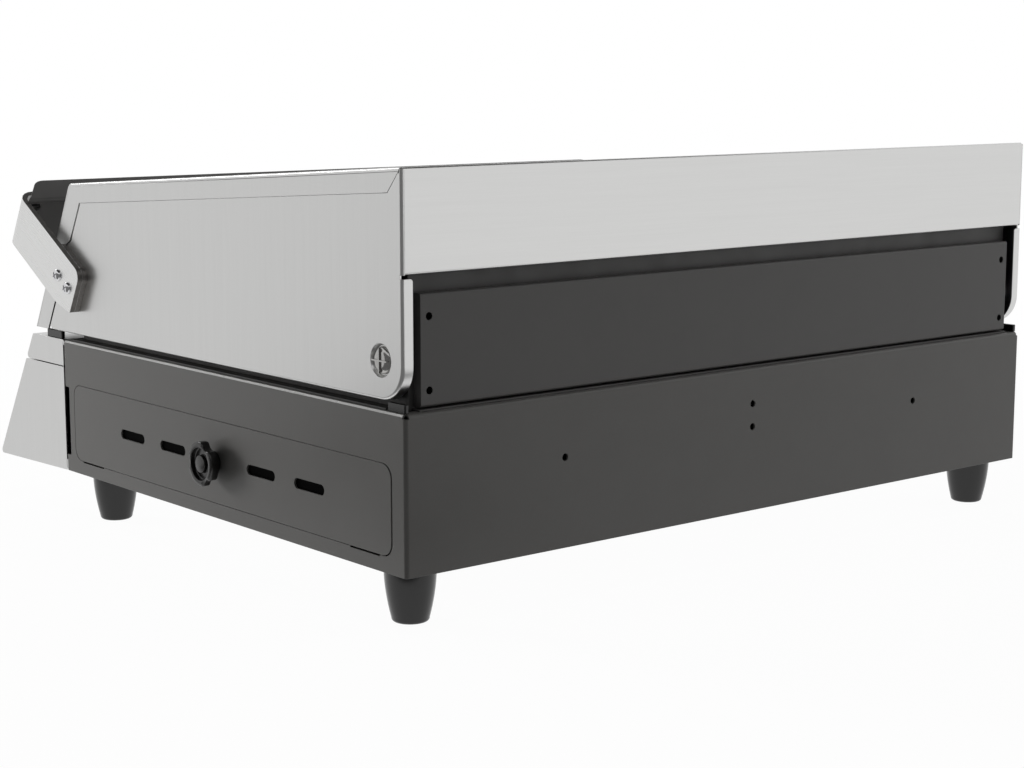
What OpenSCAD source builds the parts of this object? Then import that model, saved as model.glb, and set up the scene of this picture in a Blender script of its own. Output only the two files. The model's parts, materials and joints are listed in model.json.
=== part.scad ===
// Tabletop electric grill with a tilting stainless lid over a painted steel base.
// X runs along the width, the front faces -Y, and Z = 0 is the surface it stands on.

/* [Base] */
// Width of the base, and of the lid over its side plates
body_w = 594; // [560:1:640]
// Depth of the base from its rear face to the front panel
base_d = 430; // [420:1:470]
// Height of the base without its feet
base_h = 100; // [100:1:120]
// Thickness of the painted sheet steel
steel_t = 1.5; // [1.2:0.1:2]
// Inner radius of the sheet's bends
bend_r = 1; // [0.6:0.1:1.5]
// Width of the flange that turns in along the base's top edge
base_flange = 8; // [6:0.5:9]

/* [Feet] */
// Height of each foot
foot_h = 35; // [20:1:50]
// Largest diameter of a foot, under the base
foot_top_d = 33; // [28:1:38]
// Diameter of a foot where it stands
foot_end_d = 24; // [18:1:27]
// Distance of a foot's axis from the base's side
foot_side = 23; // [22:1:60]
// Distance of a rear foot's axis from the base's rear face
foot_rear = 27; // [24:1:60]
// Distance of a front foot's axis from the base's front edge
foot_front = 31; // [24:1:60]

/* [Lid] */
// Height of the lid's rear top edge above the base
lid_rear_z = 146; // [136:1:160]
// Height of the lid's front top edge above the base
lid_front_z = 118; // [108:1:126]
// How far the lid's front top edge lies behind the front of the base
lid_top_back = 15; // [4:1:20]
// How far the lid's front bottom edge lies before the front of the base
lid_nose = 46; // [40:1:48]
// Gap between the base's top and the lid's bottom edge
lid_gap = 6; // [4:0.5:7]
// Height of the rear panel's lower edge above the base
lid_rear_bottom_z = 82.5; // [78:0.5:90]
// Thickness of the lid's stainless sheet
lid_t = 1.5; // [1:0.1:2]
// Outer radius of the lid's folded edges
lid_edge_r = 2; // [2:0.1:4]
// Outer radius of the lid's front top corner
lid_corner_r = 6; // [5.5:0.5:10]
// Width of the flange that turns in round the side plates' lower edges
lid_hem = 8; // [5:0.5:9]
// Depth of the strip that folds from the top over each side
top_return = 14.5; // [10:0.5:16]
// Depth of the strip that folds from the front over each side
front_return = 19.5; // [14:0.5:22]

/* [Lid hinge] */
// Distance of the hinge axis from the base's rear face
hinge_d = 24; // [23:0.5:28]
// Height of the hinge axis above the base
hinge_z = 30; // [28:0.5:34]
// Radius of the pressed dish round the hinge bolt
dish_r = 10.5; // [10:0.25:11]
// Depth of the pressed dish
dish_depth = 2.5; // [1.5:0.25:3]
// Radius of the hinge bolt's domed head
hinge_head_r = 8.6; // [7:0.1:9]
// Radius of the hinge bolt's shank
hinge_pin_r = 4; // [3:0.25:5]

/* [Handle] */
// Distance of the handle's bar before the lid's front
handle_out = 46.5; // [42:0.5:50]
// Height of the bar's lower edge above the base
handle_up = 69.2; // [62:0.1:76]
// Slope of the handle's arms above level, in degrees
arm_angle = 29.7; // [25:0.1:34]
// Width of the handle's flat bar
handle_w = 40; // [34:1:42]
// Thickness of the handle's flat bar, and of its spacers
handle_t = 4; // [3:0.25:5]
// Length of an arm from the bar's front face to its rear end
arm_len = 111.5; // [106:0.5:120]
// Outer radius of the bends at the bar's two ends
handle_bend_r = 13; // [8:0.5:16]
// Depth of the guard's hood over the bar
guard_hood = 25.5; // [20:0.5:28]
// Radius of the hood's front corners
guard_corner_r = 12; // [4:0.5:12]
// Thickness of the dark guard behind the bar
guard_t = 1.5; // [1:0.1:2]

/* [Tray and side face] */
// Height of the side face that closes the tray's opening
face_h = 57; // [50:0.5:60]
// Distance of the side face's lower edge from the base's bottom
face_z = 10.5; // [10:0.5:12]
// Distance of the side face's rear edge from the base's rear face
face_rear = 15; // [14:0.5:20]
// Distance of the side face's front edge from the base's front edge
face_front = 13.4; // [12:0.1:40]
// Length of the side face along the base's side
face_len = base_d - face_rear - face_front;
// Gap round the side face
face_gap = 0.6; // [0.5:0.1:1]
// Depth of the grease tray
tray_h = 42; // [30:1:46]
// Length of the grease tray across the grill
tray_len = 520; // [420:1:530]
// Length of each vent slot in the side face
vent_len = 34; // [20:1:44]
// Height of each vent slot
vent_h = 7; // [4:0.5:8]

/* [Star knob] */
// Outer diameter of the star knob
star_d = 30.5; // [28:0.5:36]
// Thickness of the star knob's lobes
star_h = 6.4; // [5:0.1:9]
// Number of lobes
star_lobes = 3; // [3:1:6]
// Radius of the star knob's threaded stud
stud_r = 3; // [2.5:0.5:4]

/* [Front panel] */
// How far the panel's top edge lies before the base
panel_top_out = 51; // [50:1:60]
// How far the panel's bottom edge lies before the base
panel_foot_out = 115; // [104:1:120]
// How far the panel's bottom edge hangs below the base
panel_drop = 3; // [0:0.5:6]
// How far the front rail reaches down from the base's top
rail_z = 20; // [16:1:26]
// Distance of the control knobs from the middle of the panel
dial_x = 150; // [110:5:200]
// Diameter of a control knob
dial_d = 38; // [30:1:40]
// Height of a control knob
dial_h = 20; // [16:1:21]

/* [Firebox] */
// Gap between the base's side and the firebox's outer wall
firebox_in = 10.5; // [10:0.5:12]
// Height of the firebox's rear wall above the base
firebox_rear_z = 88; // [86:1:96]
// Height of the firebox's front and side walls above the base
firebox_rim_z = 22; // [19:1:24]
// Height of the firebox floor's low middle above the base's bottom
firebox_floor_z = 64; // [63:0.5:68]
// Height of the rear cover's top edge above the base
cover_z = 71; // [60:1:76]
// Depth of the cast cooking grates
grate_h = 11; // [8:1:12]
// Width of the gaps between the grates' bars
grate_gap = 8.5; // [6:0.5:10]
// Radius of the heating elements' tube
tube_r = 3.5; // [3:0.25:4.5]
// Distance between neighbouring runs of a heating element
tube_pitch = 40; // [34:1:42]

/* [Clearances] */
// Gap between pieces that move past each other
slip = 0.3; // [0.2:0.05:0.4]
// Radial gap of a shaft in its hole
run_gap = 0.05; // [0.02:0.01:0.1]

/* [Hidden] */
$fn = 48;

half_w = body_w / 2;
outer_r = steel_t + bend_r;
lid_face_in = 2;
corner_cut = 3;
seam = 0.25;
steel_grey = "#6b6a67";
stainless = "#c8c8c6";
black = "#1c1b1a";
dark = "#3c3b39";

// Heights above the base's bottom
lid_bottom_z = base_h + lid_gap;
rear_top_z = base_h + lid_rear_z;
front_top_z = base_h + lid_front_z;
rear_low_z = base_h + lid_rear_bottom_z;
axis_z = base_h + hinge_z;
wall_top_z = base_h + firebox_rear_z;
rim_z = base_h + firebox_rim_z;
cover_top_z = base_h + cover_z;
rail_low_z = base_h - rail_z;

// Vector and outline helpers
function unit(v) = v / norm(v);
function left_of(v) = [-v.y, v.x];
function bend(p, i) = cross(p[i] - p[i - 1], p[i + 1] - p[i]);
function reversed(p) = [for (i = [len(p) - 1 : -1 : 0]) p[i]];
function swapped(p) = [for (q = p) [q.y, q.x]];
// Where the line through p along d meets the line through q along e
function meet(p, d, q, e) = p + d * cross(q - p, e) / cross(d, e);
// Centre and two tangent points of an arc of radius r that rounds the corner b between a and c
function corner_fit(a, b, c, r) =
    let (u = unit(a - b), v = unit(c - b), half = acos(u * v) / 2)
    [b + unit(u + v) * r / sin(half), b + u * r / tan(half), b + v * r / tan(half)];
function corner_arc(a, b, c, r, n) =
    let (fit = corner_fit(a, b, c, r), s = fit[1] - fit[0], e = fit[2] - fit[0], from = atan2(s.y, s.x),
        sweep = (atan2(e.y, e.x) - from + 540) % 360 - 180)
    [for (k = [0 : n]) fit[0] + r * [cos(from + sweep * k / n), sin(from + sweep * k / n)]];
// Open path and closed outline with each corner rounded by its own radius
function round_path(p, radii, n = 5) = [for (i = [0 : len(p) - 1])
    each (i == 0 || i == len(p) - 1 || radii[i] == 0 ? [p[i]]
        : corner_arc(p[i - 1], p[i], p[i + 1], radii[i], n))];
function round_shape(p, radii, n = 8) = [for (i = [0 : len(p) - 1])
    each (radii[i] == 0 ? [p[i]]
        : corner_arc(p[(i + len(p) - 1) % len(p)], p[i], p[(i + 1) % len(p)], radii[i], n))];
// Open path moved to its left by s, with mitred corners
function shift_path(p, s) = [for (i = [0 : len(p) - 1])
    let (into = unit(i > 0 ? p[i] - p[i - 1] : p[1] - p[0]),
        out = i < len(p) - 1 ? unit(p[i + 1] - p[i]) : into,
        side = left_of(unit(into + out)))
    p[i] + side * s / (side * left_of(out))];
function bend_radii(p, r_left, r_right) = [for (i = [0 : len(p) - 1])
    i == 0 || i == len(p) - 1 ? 0 : (bend(p, i) > 0 ? r_left : r_right)];
// Cross-section of bent sheet: t is laid to the left of the path, or to its right where t is negative
function sheet_outline(p, t, r) =
    let (big = r + abs(t), near = t > 0 ? big : r, far = t > 0 ? r : big)
    concat(round_path(p, bend_radii(p, near, far)),
        reversed(round_path(shift_path(p, t), bend_radii(p, far, near))));

module sheet(p, t, r) {
    polygon(sheet_outline(p, t, r));
}
module rectangle(x0, y0, x1, y1, r = 0, n = 8) {
    polygon(round_shape([[x0, y0], [x1, y0], [x1, y1], [x0, y1]], [r, r, r, r], n));
}
module pill(length, height) {
    for (s = [-1, 1]) translate([s * (length - height) / 2, 0]) circle(height / 2);
    square([length - height, height], center = true);
}

// Extrudes a profile drawn in (Y, Z) from x0 to x1
module across(x0, x1) {
    translate([x0, 0, 0]) rotate([90, 0, 90]) linear_extrude(x1 - x0) children();
}
// Extrudes a profile drawn in (X, Z) from y0 to y1
module along(y0, y1) {
    translate([0, y1, 0]) rotate([90, 0, 0]) linear_extrude(y1 - y0) children();
}
module x_rod(x0, x1, y, z, r) {
    translate([x0, y, z]) rotate([0, 90, 0]) cylinder(h = x1 - x0, r = r);
}
module y_rod(y0, y1, x, z, r) {
    translate([x, y1, z]) rotate([90, 0, 0]) cylinder(h = y1 - y0, r = r);
}
module both_sides() {
    children();
    mirror([1, 0, 0]) children();
}
// Low domed screw head that stands on Z = 0
module pan_head(r, h) {
    rotate_extrude() polygon([[0, 0], [r, 0], [r * 0.96, h * 0.55], [r * 0.8, h * 0.85], [r * 0.5, h],
        [0, h]]);
}
module hex_nut(r, h, bore) {
    difference() {
        cylinder(h = h, r = r, $fn = 6);
        translate([0, 0, -1]) cylinder(h = h + 2, r = bore, $fn = 48);
    }
}

// Front panel's slope, and how far its rounded foot reaches
panel_t = 1.5;
panel_gap = 0.8;
panel_r = panel_t + bend_r;
panel_top = [-base_d - panel_top_out, base_h];
panel_foot = [-base_d - panel_foot_out, -panel_drop];
panel_dir = unit(panel_top - panel_foot);
function panel_at(z) = panel_foot + panel_dir * (z + panel_drop) / panel_dir.y;
nose_y = corner_fit(panel_top, panel_foot, [-base_d, 0], panel_r)[0].x - panel_r;
total_d = -nose_y;

// Moves pieces drawn from the base's rear bottom edge into the grill's own frame, whose origin lies
// under the middle of the whole width from the handle's screws to the star knob
screw_head_h = 2.8;
star_boss = 6.1;
shift_x = (2 * handle_t + screw_head_h - star_boss - star_h) / 2;
module at_base() {
    translate([shift_x, total_d / 2, foot_h]) children();
}

// Base
face_mid_y = -face_rear - face_len / 2;
face_mid_z = face_z + face_h / 2;
face_r = 9;
tab_len = 31;
tab_in = 12;
slit_h = 0.9;
inlet_y = -62;
inlet_z = 46;
inlet_w = 28;
inlet_h = 22;
inlet_ear = 9;
inlet_screw_r = 1.5;
mount_pitch = 342;
mount_z = 59;
centre_pitch = 16;
mount_r = 2.4;
notch_top = 64.6;
notch_bottom = 12.6;
notch_in = 5.6;
notch_r = 1.2;
wall_in = half_w - steel_t;

module inlet_screw_places() {
    for (s = [-1, 1]) translate([s * (inlet_w + inlet_ear) / 2, 0, 0]) children();
}
// Frame on the far side's power inlet: local Z points out of the base
module on_inlet() {
    translate([-half_w, inlet_y, inlet_z]) rotate([90, 0, -90]) children();
}
module front_notch(reach) {
    both_sides() across(half_w - reach, half_w + 1)
        rectangle(-base_d - notch_in, notch_bottom, notch_in - base_d, notch_top, notch_r);
}
module base_shell() {
    color(steel_grey) at_base() difference() {
        union() {
            both_sides() {
                along(-base_d, -corner_cut)
                    sheet([[half_w, 0], [half_w, base_h], [half_w - base_flange, base_h]], steel_t, bend_r);
                linear_extrude(base_h - corner_cut)
                    sheet([[half_w, -2 * corner_cut], [half_w, 0], [half_w - 2 * corner_cut, 0]],
                        steel_t, bend_r);
            }
            across(corner_cut - half_w, half_w - corner_cut)
                sheet([[0, 0], [0, base_h], [-base_flange, base_h]], steel_t, bend_r);
        }
        // The gap round the side face is widest at its rear edge
        across(wall_in - 1, half_w + 1) {
            rectangle(-face_rear - face_len - face_gap / 2, face_z - face_gap / 2,
                -face_rear + 2 * face_gap, face_z + face_h + face_gap / 2, face_r);
            for (y = [-face_rear - tab_in - tab_len, -face_rear - face_len + tab_in])
                rectangle(y, face_z - face_gap / 2 - slit_h, y + tab_len, face_z + 2);
        }
        on_inlet() translate([0, 0, -steel_t - 1]) {
            linear_extrude(steel_t + 2) rectangle(-inlet_w / 2, -inlet_h / 2, inlet_w / 2, inlet_h / 2, 2);
            inlet_screw_places() cylinder(h = steel_t + 2, r = inlet_screw_r + run_gap);
        }
        for (x = [-1, 1]) y_rod(-steel_t - 1, 1, x * mount_pitch / 2, mount_z, mount_r);
        for (z = [0, centre_pitch]) y_rod(-steel_t - 1, 1, 0, mount_z + z, mount_r);
        front_notch(steel_t + 1);
    }
}

// The floor is a pan inside the shell, and its front wall closes the base behind the controls
bulkhead_y = -base_d;
floor_vent = 36;
tail_z = base_h - 14;
foot_screw_r = 2.5;
module foot_places() {
    for (x = [-1, 1], y = [-foot_rear, foot_front - base_d])
        translate([x * (half_w - foot_side), y, 0]) children();
}
module base_floor() {
    color(steel_grey) at_base() difference() {
        across(-wall_in, wall_in)
            sheet([[-outer_r, face_z - 2], [-outer_r, 0], [bulkhead_y, 0], [bulkhead_y, base_h - outer_r]],
                -steel_t, bend_r);
        foot_places() translate([0, 0, -1]) cylinder(h = steel_t + 2, r = foot_screw_r + run_gap);
        for (x = tail_places()) y_rod(bulkhead_y - 1, bulkhead_y + steel_t + 1, x, tail_z, tube_r + 1.5);
        for (x = [-4 : 4], y = [-0.35, -0.62]) translate([x * floor_vent, y * base_d, -1])
            linear_extrude(steel_t + 2) rotate(90) pill(60, 5);
        front_notch(steel_t + 12);
    }
}

foot_round = 2.5;
module feet() {
    bulge = (foot_top_d - foot_end_d) / 2;
    swell = foot_h - foot_round;
    color(black) at_base() foot_places() rotate_extrude() difference() {
        polygon(concat([[0, 0], [foot_top_d / 2, 0]],
            [for (k = [1 : 8]) [foot_top_d / 2 - bulge * pow(k / 8, 1.8), -swell * k / 8]],
            [[foot_end_d / 2 - foot_round * 0.3, -foot_h + foot_round * 0.3],
                [foot_end_d / 2 - foot_round, -foot_h], [0, -foot_h]]));
        translate([0, 8 - foot_h]) square([foot_screw_r + run_gap, foot_h]);
    }
}
module foot_screws() {
    color("silver") at_base() foot_places() {
        translate([0, 0, steel_t]) pan_head(5, 3);
        translate([0, 0, 9 - foot_h]) cylinder(h = foot_h - 9 + steel_t, r = foot_screw_r);
    }
}

// Grease tray, welded from a floor sheet and four wall strips, and its rails
tray_rear_y = -face_rear - 15;
tray_front_y = 15 - face_rear - face_len;
rail_h = 10;
rail_w = 12;
rail_t = 1.2;
rail_in = 20;
tray_z = steel_t + rail_h + slip;
tray_t = 1;
tray_left = wall_in - tray_len;
module tray_rails() {
    color("silver") at_base() for (y = [tray_rear_y - rail_in, tray_front_y + rail_in])
        translate([0, y, 0]) across(-wall_in + 5, wall_in - 8)
            sheet([[-rail_w / 2 - 5, steel_t + rail_t], [-rail_w / 2, steel_t + rail_t],
                [-rail_w / 2, steel_t + rail_h], [rail_w / 2, steel_t + rail_h],
                [rail_w / 2, steel_t + rail_t], [rail_w / 2 + 5, steel_t + rail_t]], -rail_t, 0.5);
}
module grease_tray() {
    color("silver") at_base() translate([0, 0, tray_z])
        linear_extrude(tray_t) rectangle(tray_left, tray_front_y, wall_in, tray_rear_y);
}
module tray_sides() {
    color("silver") at_base() for (y = [tray_front_y, tray_rear_y - tray_t])
        translate([tray_left, y, tray_z + tray_t]) cube([tray_len, tray_t, tray_h - tray_t]);
}
module tray_ends() {
    color("silver") at_base() difference() {
        for (x = [tray_left, wall_in - tray_t]) translate([x, tray_front_y + tray_t, tray_z + tray_t])
            cube([tray_t, tray_rear_y - tray_front_y - 2 * tray_t, tray_h - tray_t]);
        x_rod(wall_in - 3, wall_in + 1, face_mid_y, face_mid_z, stud_r + run_gap);
    }
}
// Vent slots stand either side of the star knob, which takes the middle place of the row
vent_pitch = 56.5;
vent_rise = 1.2;
vent_places = [-2, -1, 1, 2];
module tray_face() {
    color(steel_grey) at_base() difference() {
        union() {
            across(wall_in, half_w)
                rectangle(-face_rear - face_len, face_z, -face_rear, face_z + face_h, face_r);
            for (y = [-face_rear - tab_in - tab_len, -face_rear - face_len + tab_in])
                translate([wall_in - 5, y, face_z]) cube([5 + steel_t / 2, tab_len, 1]);
        }
        for (k = vent_places) translate([0, face_mid_y + k * vent_pitch, face_mid_z + vent_rise])
            across(wall_in - 1, half_w + 1) pill(vent_len, vent_h);
        x_rod(wall_in - 1, half_w + 1, face_mid_y, face_mid_z, stud_r + run_gap);
    }
}
nut_h = 5;
module tray_nut() {
    color("silver") at_base() translate([wall_in - tray_t, face_mid_y, face_mid_z])
        rotate([0, -90, 0]) hex_nut(5.8, nut_h, stud_r + run_gap);
}
// Frame on the side face: local Z points out of the face
module on_face() {
    translate([half_w, face_mid_y, face_mid_z]) rotate([0, 90, 0]) children();
}
valley_r = star_d * 0.226;
valley_at = star_d * 0.63;
cup_r = star_d * 0.37;
cup_boss_r = star_d * 0.195;
cup_deep = 3.3;
module star_knob() {
    color(black) at_base() on_face() difference() {
        union() {
            translate([0, 0, slip]) cylinder(h = star_boss, r1 = star_d * 0.25, r2 = star_d * 0.3);
            translate([0, 0, star_boss]) linear_extrude(star_h) difference() {
                circle(star_d / 2);
                for (k = [0.5 : star_lobes]) rotate(90 + k * 360 / star_lobes)
                    translate([valley_at, 0]) circle(valley_r);
            }
        }
        translate([0, 0, star_boss + star_h - cup_deep]) difference() {
            cylinder(h = cup_deep + 1, r = cup_r);
            cylinder(h = cup_deep + 1, r = cup_boss_r);
        }
        translate([0, 0, -1]) cylinder(h = star_boss + 3, r = stud_r + run_gap);
    }
}
module star_stud() {
    back = steel_t + tray_t + nut_h + 3;
    color("silver") at_base() on_face() translate([0, 0, -back]) cylinder(h = back + star_boss + 1, r = stud_r);
}

// Front panel and its controls; its ends stand clear of the base's sides
end_gap = 2;
module panel_ends(shape) {
    both_sides() across(half_w - panel_t, half_w) polygon(shape);
}
module control_panel() {
    top = panel_at(rail_low_z - panel_gap);
    color(stainless) at_base() difference() {
        union() {
            across(-half_w, half_w)
                sheet([top + [18, 0], top, panel_foot, [-base_d, 0], [-base_d, face_z - 2]],
                    panel_t, bend_r);
            panel_ends(round_shape([[-base_d - end_gap, 0], [-base_d - end_gap, top.y], top, panel_foot],
                [0, 0, panel_r, panel_r]));
        }
        for (s = [-1, 1]) on_panel(s * dial_x) translate([0, 0, -5]) cylinder(h = 10, r = shaft_r + 2);
        on_panel(0) translate([0, 0, -5]) cylinder(h = 10, r = lamp_r + run_gap);
    }
}
module front_rail() {
    low = panel_at(rail_low_z);
    color(stainless) at_base() {
        across(-half_w, half_w)
            sheet([[-base_d, base_h - 4], [-base_d, base_h], panel_top, low, low + [10, 0]],
                panel_t, bend_r);
        panel_ends(round_shape([[-base_d - end_gap, rail_low_z], [-base_d - end_gap, base_h],
            panel_top, low], [0, 0, panel_r, panel_r]));
    }
}
// Frame on the panel's slope: local Z points out of the panel, local Y up the slope
dial_up = 52;
module on_panel(x) {
    spot = panel_foot + panel_dir * dial_up;
    translate([x, spot.x, spot.y]) rotate([90 - atan2(panel_dir.x, panel_dir.y), 0, 0]) children();
}
shaft_r = 3;
lamp_r = 4;
ring_t = 1.2;
ring_out = 9;
switch_w = 40;
switch_h = 22;
switch_neck = 6;
module dial_knob() {
    skirt = dial_d / 2;
    grips = 18;
    difference() {
        rotate_extrude() polygon([[0, ring_t + slip], [skirt, ring_t + slip], [skirt, 4],
            [skirt - 1.5, 5.5], [skirt - 4, 6.2], [skirt - 4, dial_h - 1.5], [skirt - 5.5, dial_h],
            [0, dial_h]]);
        for (k = [1 : grips - 1]) rotate(90 + k * 360 / grips) translate([skirt - 2.8, 0, 7.5])
            cylinder(h = dial_h, r = 1.9, $fn = 24);
        translate([0, 0, -1]) cylinder(h = dial_h - 4, r = shaft_r + run_gap);
        translate([-0.6, 2, dial_h - 0.6]) cube([1.2, skirt, 2]);
    }
}
module dial_shaft() {
    translate([0, 0, -switch_h]) cylinder(h = switch_h + dial_h - 6, r = shaft_r);
}
module dial_switch() {
    translate([0, 0, -panel_t]) difference() {
        union() {
            translate([0, 0, -switch_neck - switch_h]) linear_extrude(switch_h)
                rectangle(-switch_w / 2, -switch_w / 2, switch_w / 2, switch_w / 2, 3);
            translate([0, 0, -switch_neck - 1]) cylinder(h = switch_neck + 1, r = 9);
            for (s = [-1, 1]) translate([s * 11 - 3, -1, -switch_neck - switch_h - 8]) cube([6, 1, 9]);
        }
        translate([0, 0, -switch_h]) cylinder(h = switch_h + 1, r = shaft_r + run_gap);
    }
}
module heat_knob() { color(black) at_base() on_panel(dial_x) dial_knob(); }
module heat_shaft() { color("silver") at_base() on_panel(dial_x) dial_shaft(); }
module heat_switch() { color("ivory") at_base() on_panel(dial_x) dial_switch(); }
module timer_knob() { color(black) at_base() on_panel(-dial_x) dial_knob(); }
module timer_shaft() { color("silver") at_base() on_panel(-dial_x) dial_shaft(); }
module timer_switch() { color("ivory") at_base() on_panel(-dial_x) dial_switch(); }
module dial_rings() {
    color(black) at_base() for (s = [-1, 1]) on_panel(s * dial_x) difference() {
        cylinder(h = ring_t, r = dial_d / 2 + ring_out);
        translate([0, 0, -1]) cylinder(h = ring_t + 2, r = shaft_r + 2);
    }
}
module pilot_lamp() {
    color("#b3261e") at_base() on_panel(0) {
        translate([0, 0, -14]) cylinder(h = 15, r = lamp_r);
        rotate_extrude() polygon([[0, 0], [6, 0], [6, 1.2], [4.6, 2], [3.2, 3.4], [0, 4]]);
    }
}

// Power inlet in the far side
inlet_deep = 24;
module power_inlet() {
    fit = 0.2;
    color(black) at_base() on_inlet() difference() {
        union() {
            linear_extrude(2.5) rectangle(-inlet_w / 2 - inlet_ear, -inlet_h / 2 - 2.5,
                inlet_w / 2 + inlet_ear, inlet_h / 2 + 2.5, 4);
            translate([0, 0, -inlet_deep]) linear_extrude(inlet_deep + 1)
                rectangle(fit - inlet_w / 2, fit - inlet_h / 2, inlet_w / 2 - fit, inlet_h / 2 - fit, 2);
        }
        translate([0, 0, 4 - inlet_deep]) linear_extrude(inlet_deep)
            rectangle(2.5 - inlet_w / 2, 2.5 - inlet_h / 2, inlet_w / 2 - 2.5, inlet_h / 2 - 2.5, 3);
        inlet_screw_places() translate([0, 0, -1]) cylinder(h = 5, r = inlet_screw_r + run_gap);
    }
}
module inlet_pins() {
    color("silver") at_base() on_inlet() for (p = [[-7, 2], [7, 2], [0, -3]])
        translate([p.x, p.y, 4 - inlet_deep]) linear_extrude(15) square([4, 2], center = true);
}
module inlet_screws() {
    color("silver") at_base() on_inlet() inlet_screw_places() {
        translate([0, 0, 2.5]) pan_head(3, 1.8);
        translate([0, 0, -4]) cylinder(h = 6.5, r = inlet_screw_r);
    }
}

// Firebox
box_side = half_w - firebox_in;
box_rear = -firebox_in;
box_front = -base_d + 12;
box_mid = (box_rear + box_front) / 2;
box_t = 1.2;
floor_rise = 7;
ledge_w = 10;
ledge_z = rim_z - grate_h - 2;
box_line = [[box_rear, wall_top_z], [box_rear, firebox_floor_z + floor_rise],
    [box_mid, firebox_floor_z], [box_front, firebox_floor_z + floor_rise], [box_front, rim_z]];
wing_len = 62;
wing_slope = 80;
wing_z = base_h + 48;
module firebox() {
    color("#8d8a84") at_base() difference() {
        union() {
            across(-box_side, box_side) sheet(box_line, -box_t, bend_r);
            both_sides() across(box_side - box_t, box_side)
                polygon(concat(round_path(box_line, bend_radii(box_line, bend_r, bend_r + box_t)),
                    [[box_rear - wing_len - wing_slope, rim_z], [box_rear - wing_len, wing_z],
                        [box_rear - wing_len / 2, wall_top_z]]));
            translate([0, 0, base_h]) linear_extrude(box_t) difference() {
                union() {
                    rectangle(2 - half_w, box_front - 4, half_w - 2, -22);
                    rectangle(13 - half_w, -30, half_w - 13, -3);
                }
                rectangle(box_t - box_side, box_front + box_t, box_side - box_t, box_rear - box_t);
            }
            for (y = [box_rear - ledge_w, box_front])
                translate([-box_side, y, ledge_z - box_t]) cube([2 * box_side, ledge_w, box_t]);
        }
        translate([0, box_mid, firebox_floor_z - 1]) linear_extrude(6) rectangle(-40, -18, 40, 18, 8);
        for (x = tail_places()) y_rod(box_front - 1, box_front + box_t + 1, x, tail_z, tube_r + 1.5);
        both_sides() x_rod(box_side - 3, box_side + 1, -hinge_d, axis_z, hinge_pin_r + run_gap);
    }
}
cover_deep = 7;
cover_t = 1;
cover_in = 4;
cover_side = box_side - cover_in;
cover_hole_in = 6.5;
cover_low = base_h + box_t + 1;
module rear_cover() {
    ends = [[0, cover_low], [0, cover_top_z], [cover_deep, cover_top_z], [cover_deep, cover_low]];
    face_out = cover_t + bend_r;
    color(dark) at_base() translate([0, box_rear, 0]) difference() {
        union() {
            across(-cover_side, cover_side)
                sheet([[0, cover_top_z], [cover_deep, cover_top_z], [cover_deep, cover_low], [0, cover_low]],
                    -cover_t, bend_r);
            both_sides() across(cover_side - cover_t, cover_side)
                polygon(round_shape(ends, [0, 0, face_out, face_out]));
        }
        for (x = [-1, 1], z = [cover_low + 10, cover_top_z - 14])
            y_rod(cover_deep - 3, cover_deep + 1, x * (cover_side - cover_hole_in), z, mount_r);
    }
}
// Heating elements: each a flat coil of straight runs, with both ends through the front wall
runs = 6;
turn_in = 40;
element_mid = box_side / 2;
block_deep = 8;
block_w = 16;
function run_x(i) = element_mid + (i - (runs - 1) / 2) * tube_pitch;
function tail_places() = [for (s = [-1, 1], i = [0, runs - 1]) s * run_x(i)];
module element() {
    turn_front = box_front + turn_in;
    turn_rear = box_rear - turn_in;
    for (i = [0 : runs - 1]) {
        start = i == 0 || i == runs - 1 ? bulkhead_y - block_deep - 6 : turn_front;
        y_rod(start, turn_rear, run_x(i), tail_z, tube_r);
    }
    for (i = [0 : runs - 2]) {
        at_rear = i % 2 == 0;
        translate([run_x(i) + tube_pitch / 2, at_rear ? turn_rear : turn_front, tail_z])
            rotate([0, 0, at_rear ? 0 : 180]) rotate_extrude(angle = 180)
                translate([tube_pitch / 2, 0]) circle(tube_r, $fn = 24);
    }
}
module element_left() { color("#4a4744") at_base() mirror([1, 0, 0]) element(); }
module element_right() { color("#4a4744") at_base() element(); }
// Upright strips stand on the firebox floor and carry the elements in round notches
rest_t = 1.5;
rest_y = 110;
module element_rests() {
    reach = (runs - 1) / 2 * tube_pitch + 14;
    floor_z = firebox_floor_z + floor_rise * rest_y / (box_mid - box_front);
    color("silver") at_base() for (s = [-1, 1], d = [-1, 1])
        translate([s * element_mid, box_mid + d * rest_y, 0]) difference() {
            along(-rest_t / 2, rest_t / 2) rectangle(-reach, floor_z + 1.6, reach, tail_z + 1);
            for (i = [0 : runs - 1]) {
                x = (i - (runs - 1) / 2) * tube_pitch;
                y_rod(-3, 3, x, tail_z, tube_r + run_gap);
                translate([x - tube_r - run_gap, -3, tail_z]) cube([2 * (tube_r + run_gap), 6, 10]);
            }
        }
}
// Ceramic blocks on the bulkhead that the element ends pass through
module terminal_blocks() {
    color("ivory") at_base() for (x = tail_places()) difference() {
        translate([x - block_w / 2, bulkhead_y - block_deep, tail_z - block_w / 2])
            cube([block_w, block_deep, block_w]);
        y_rod(bulkhead_y - block_deep - 1, bulkhead_y + 1, x, tail_z, tube_r + run_gap);
    }
}

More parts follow.
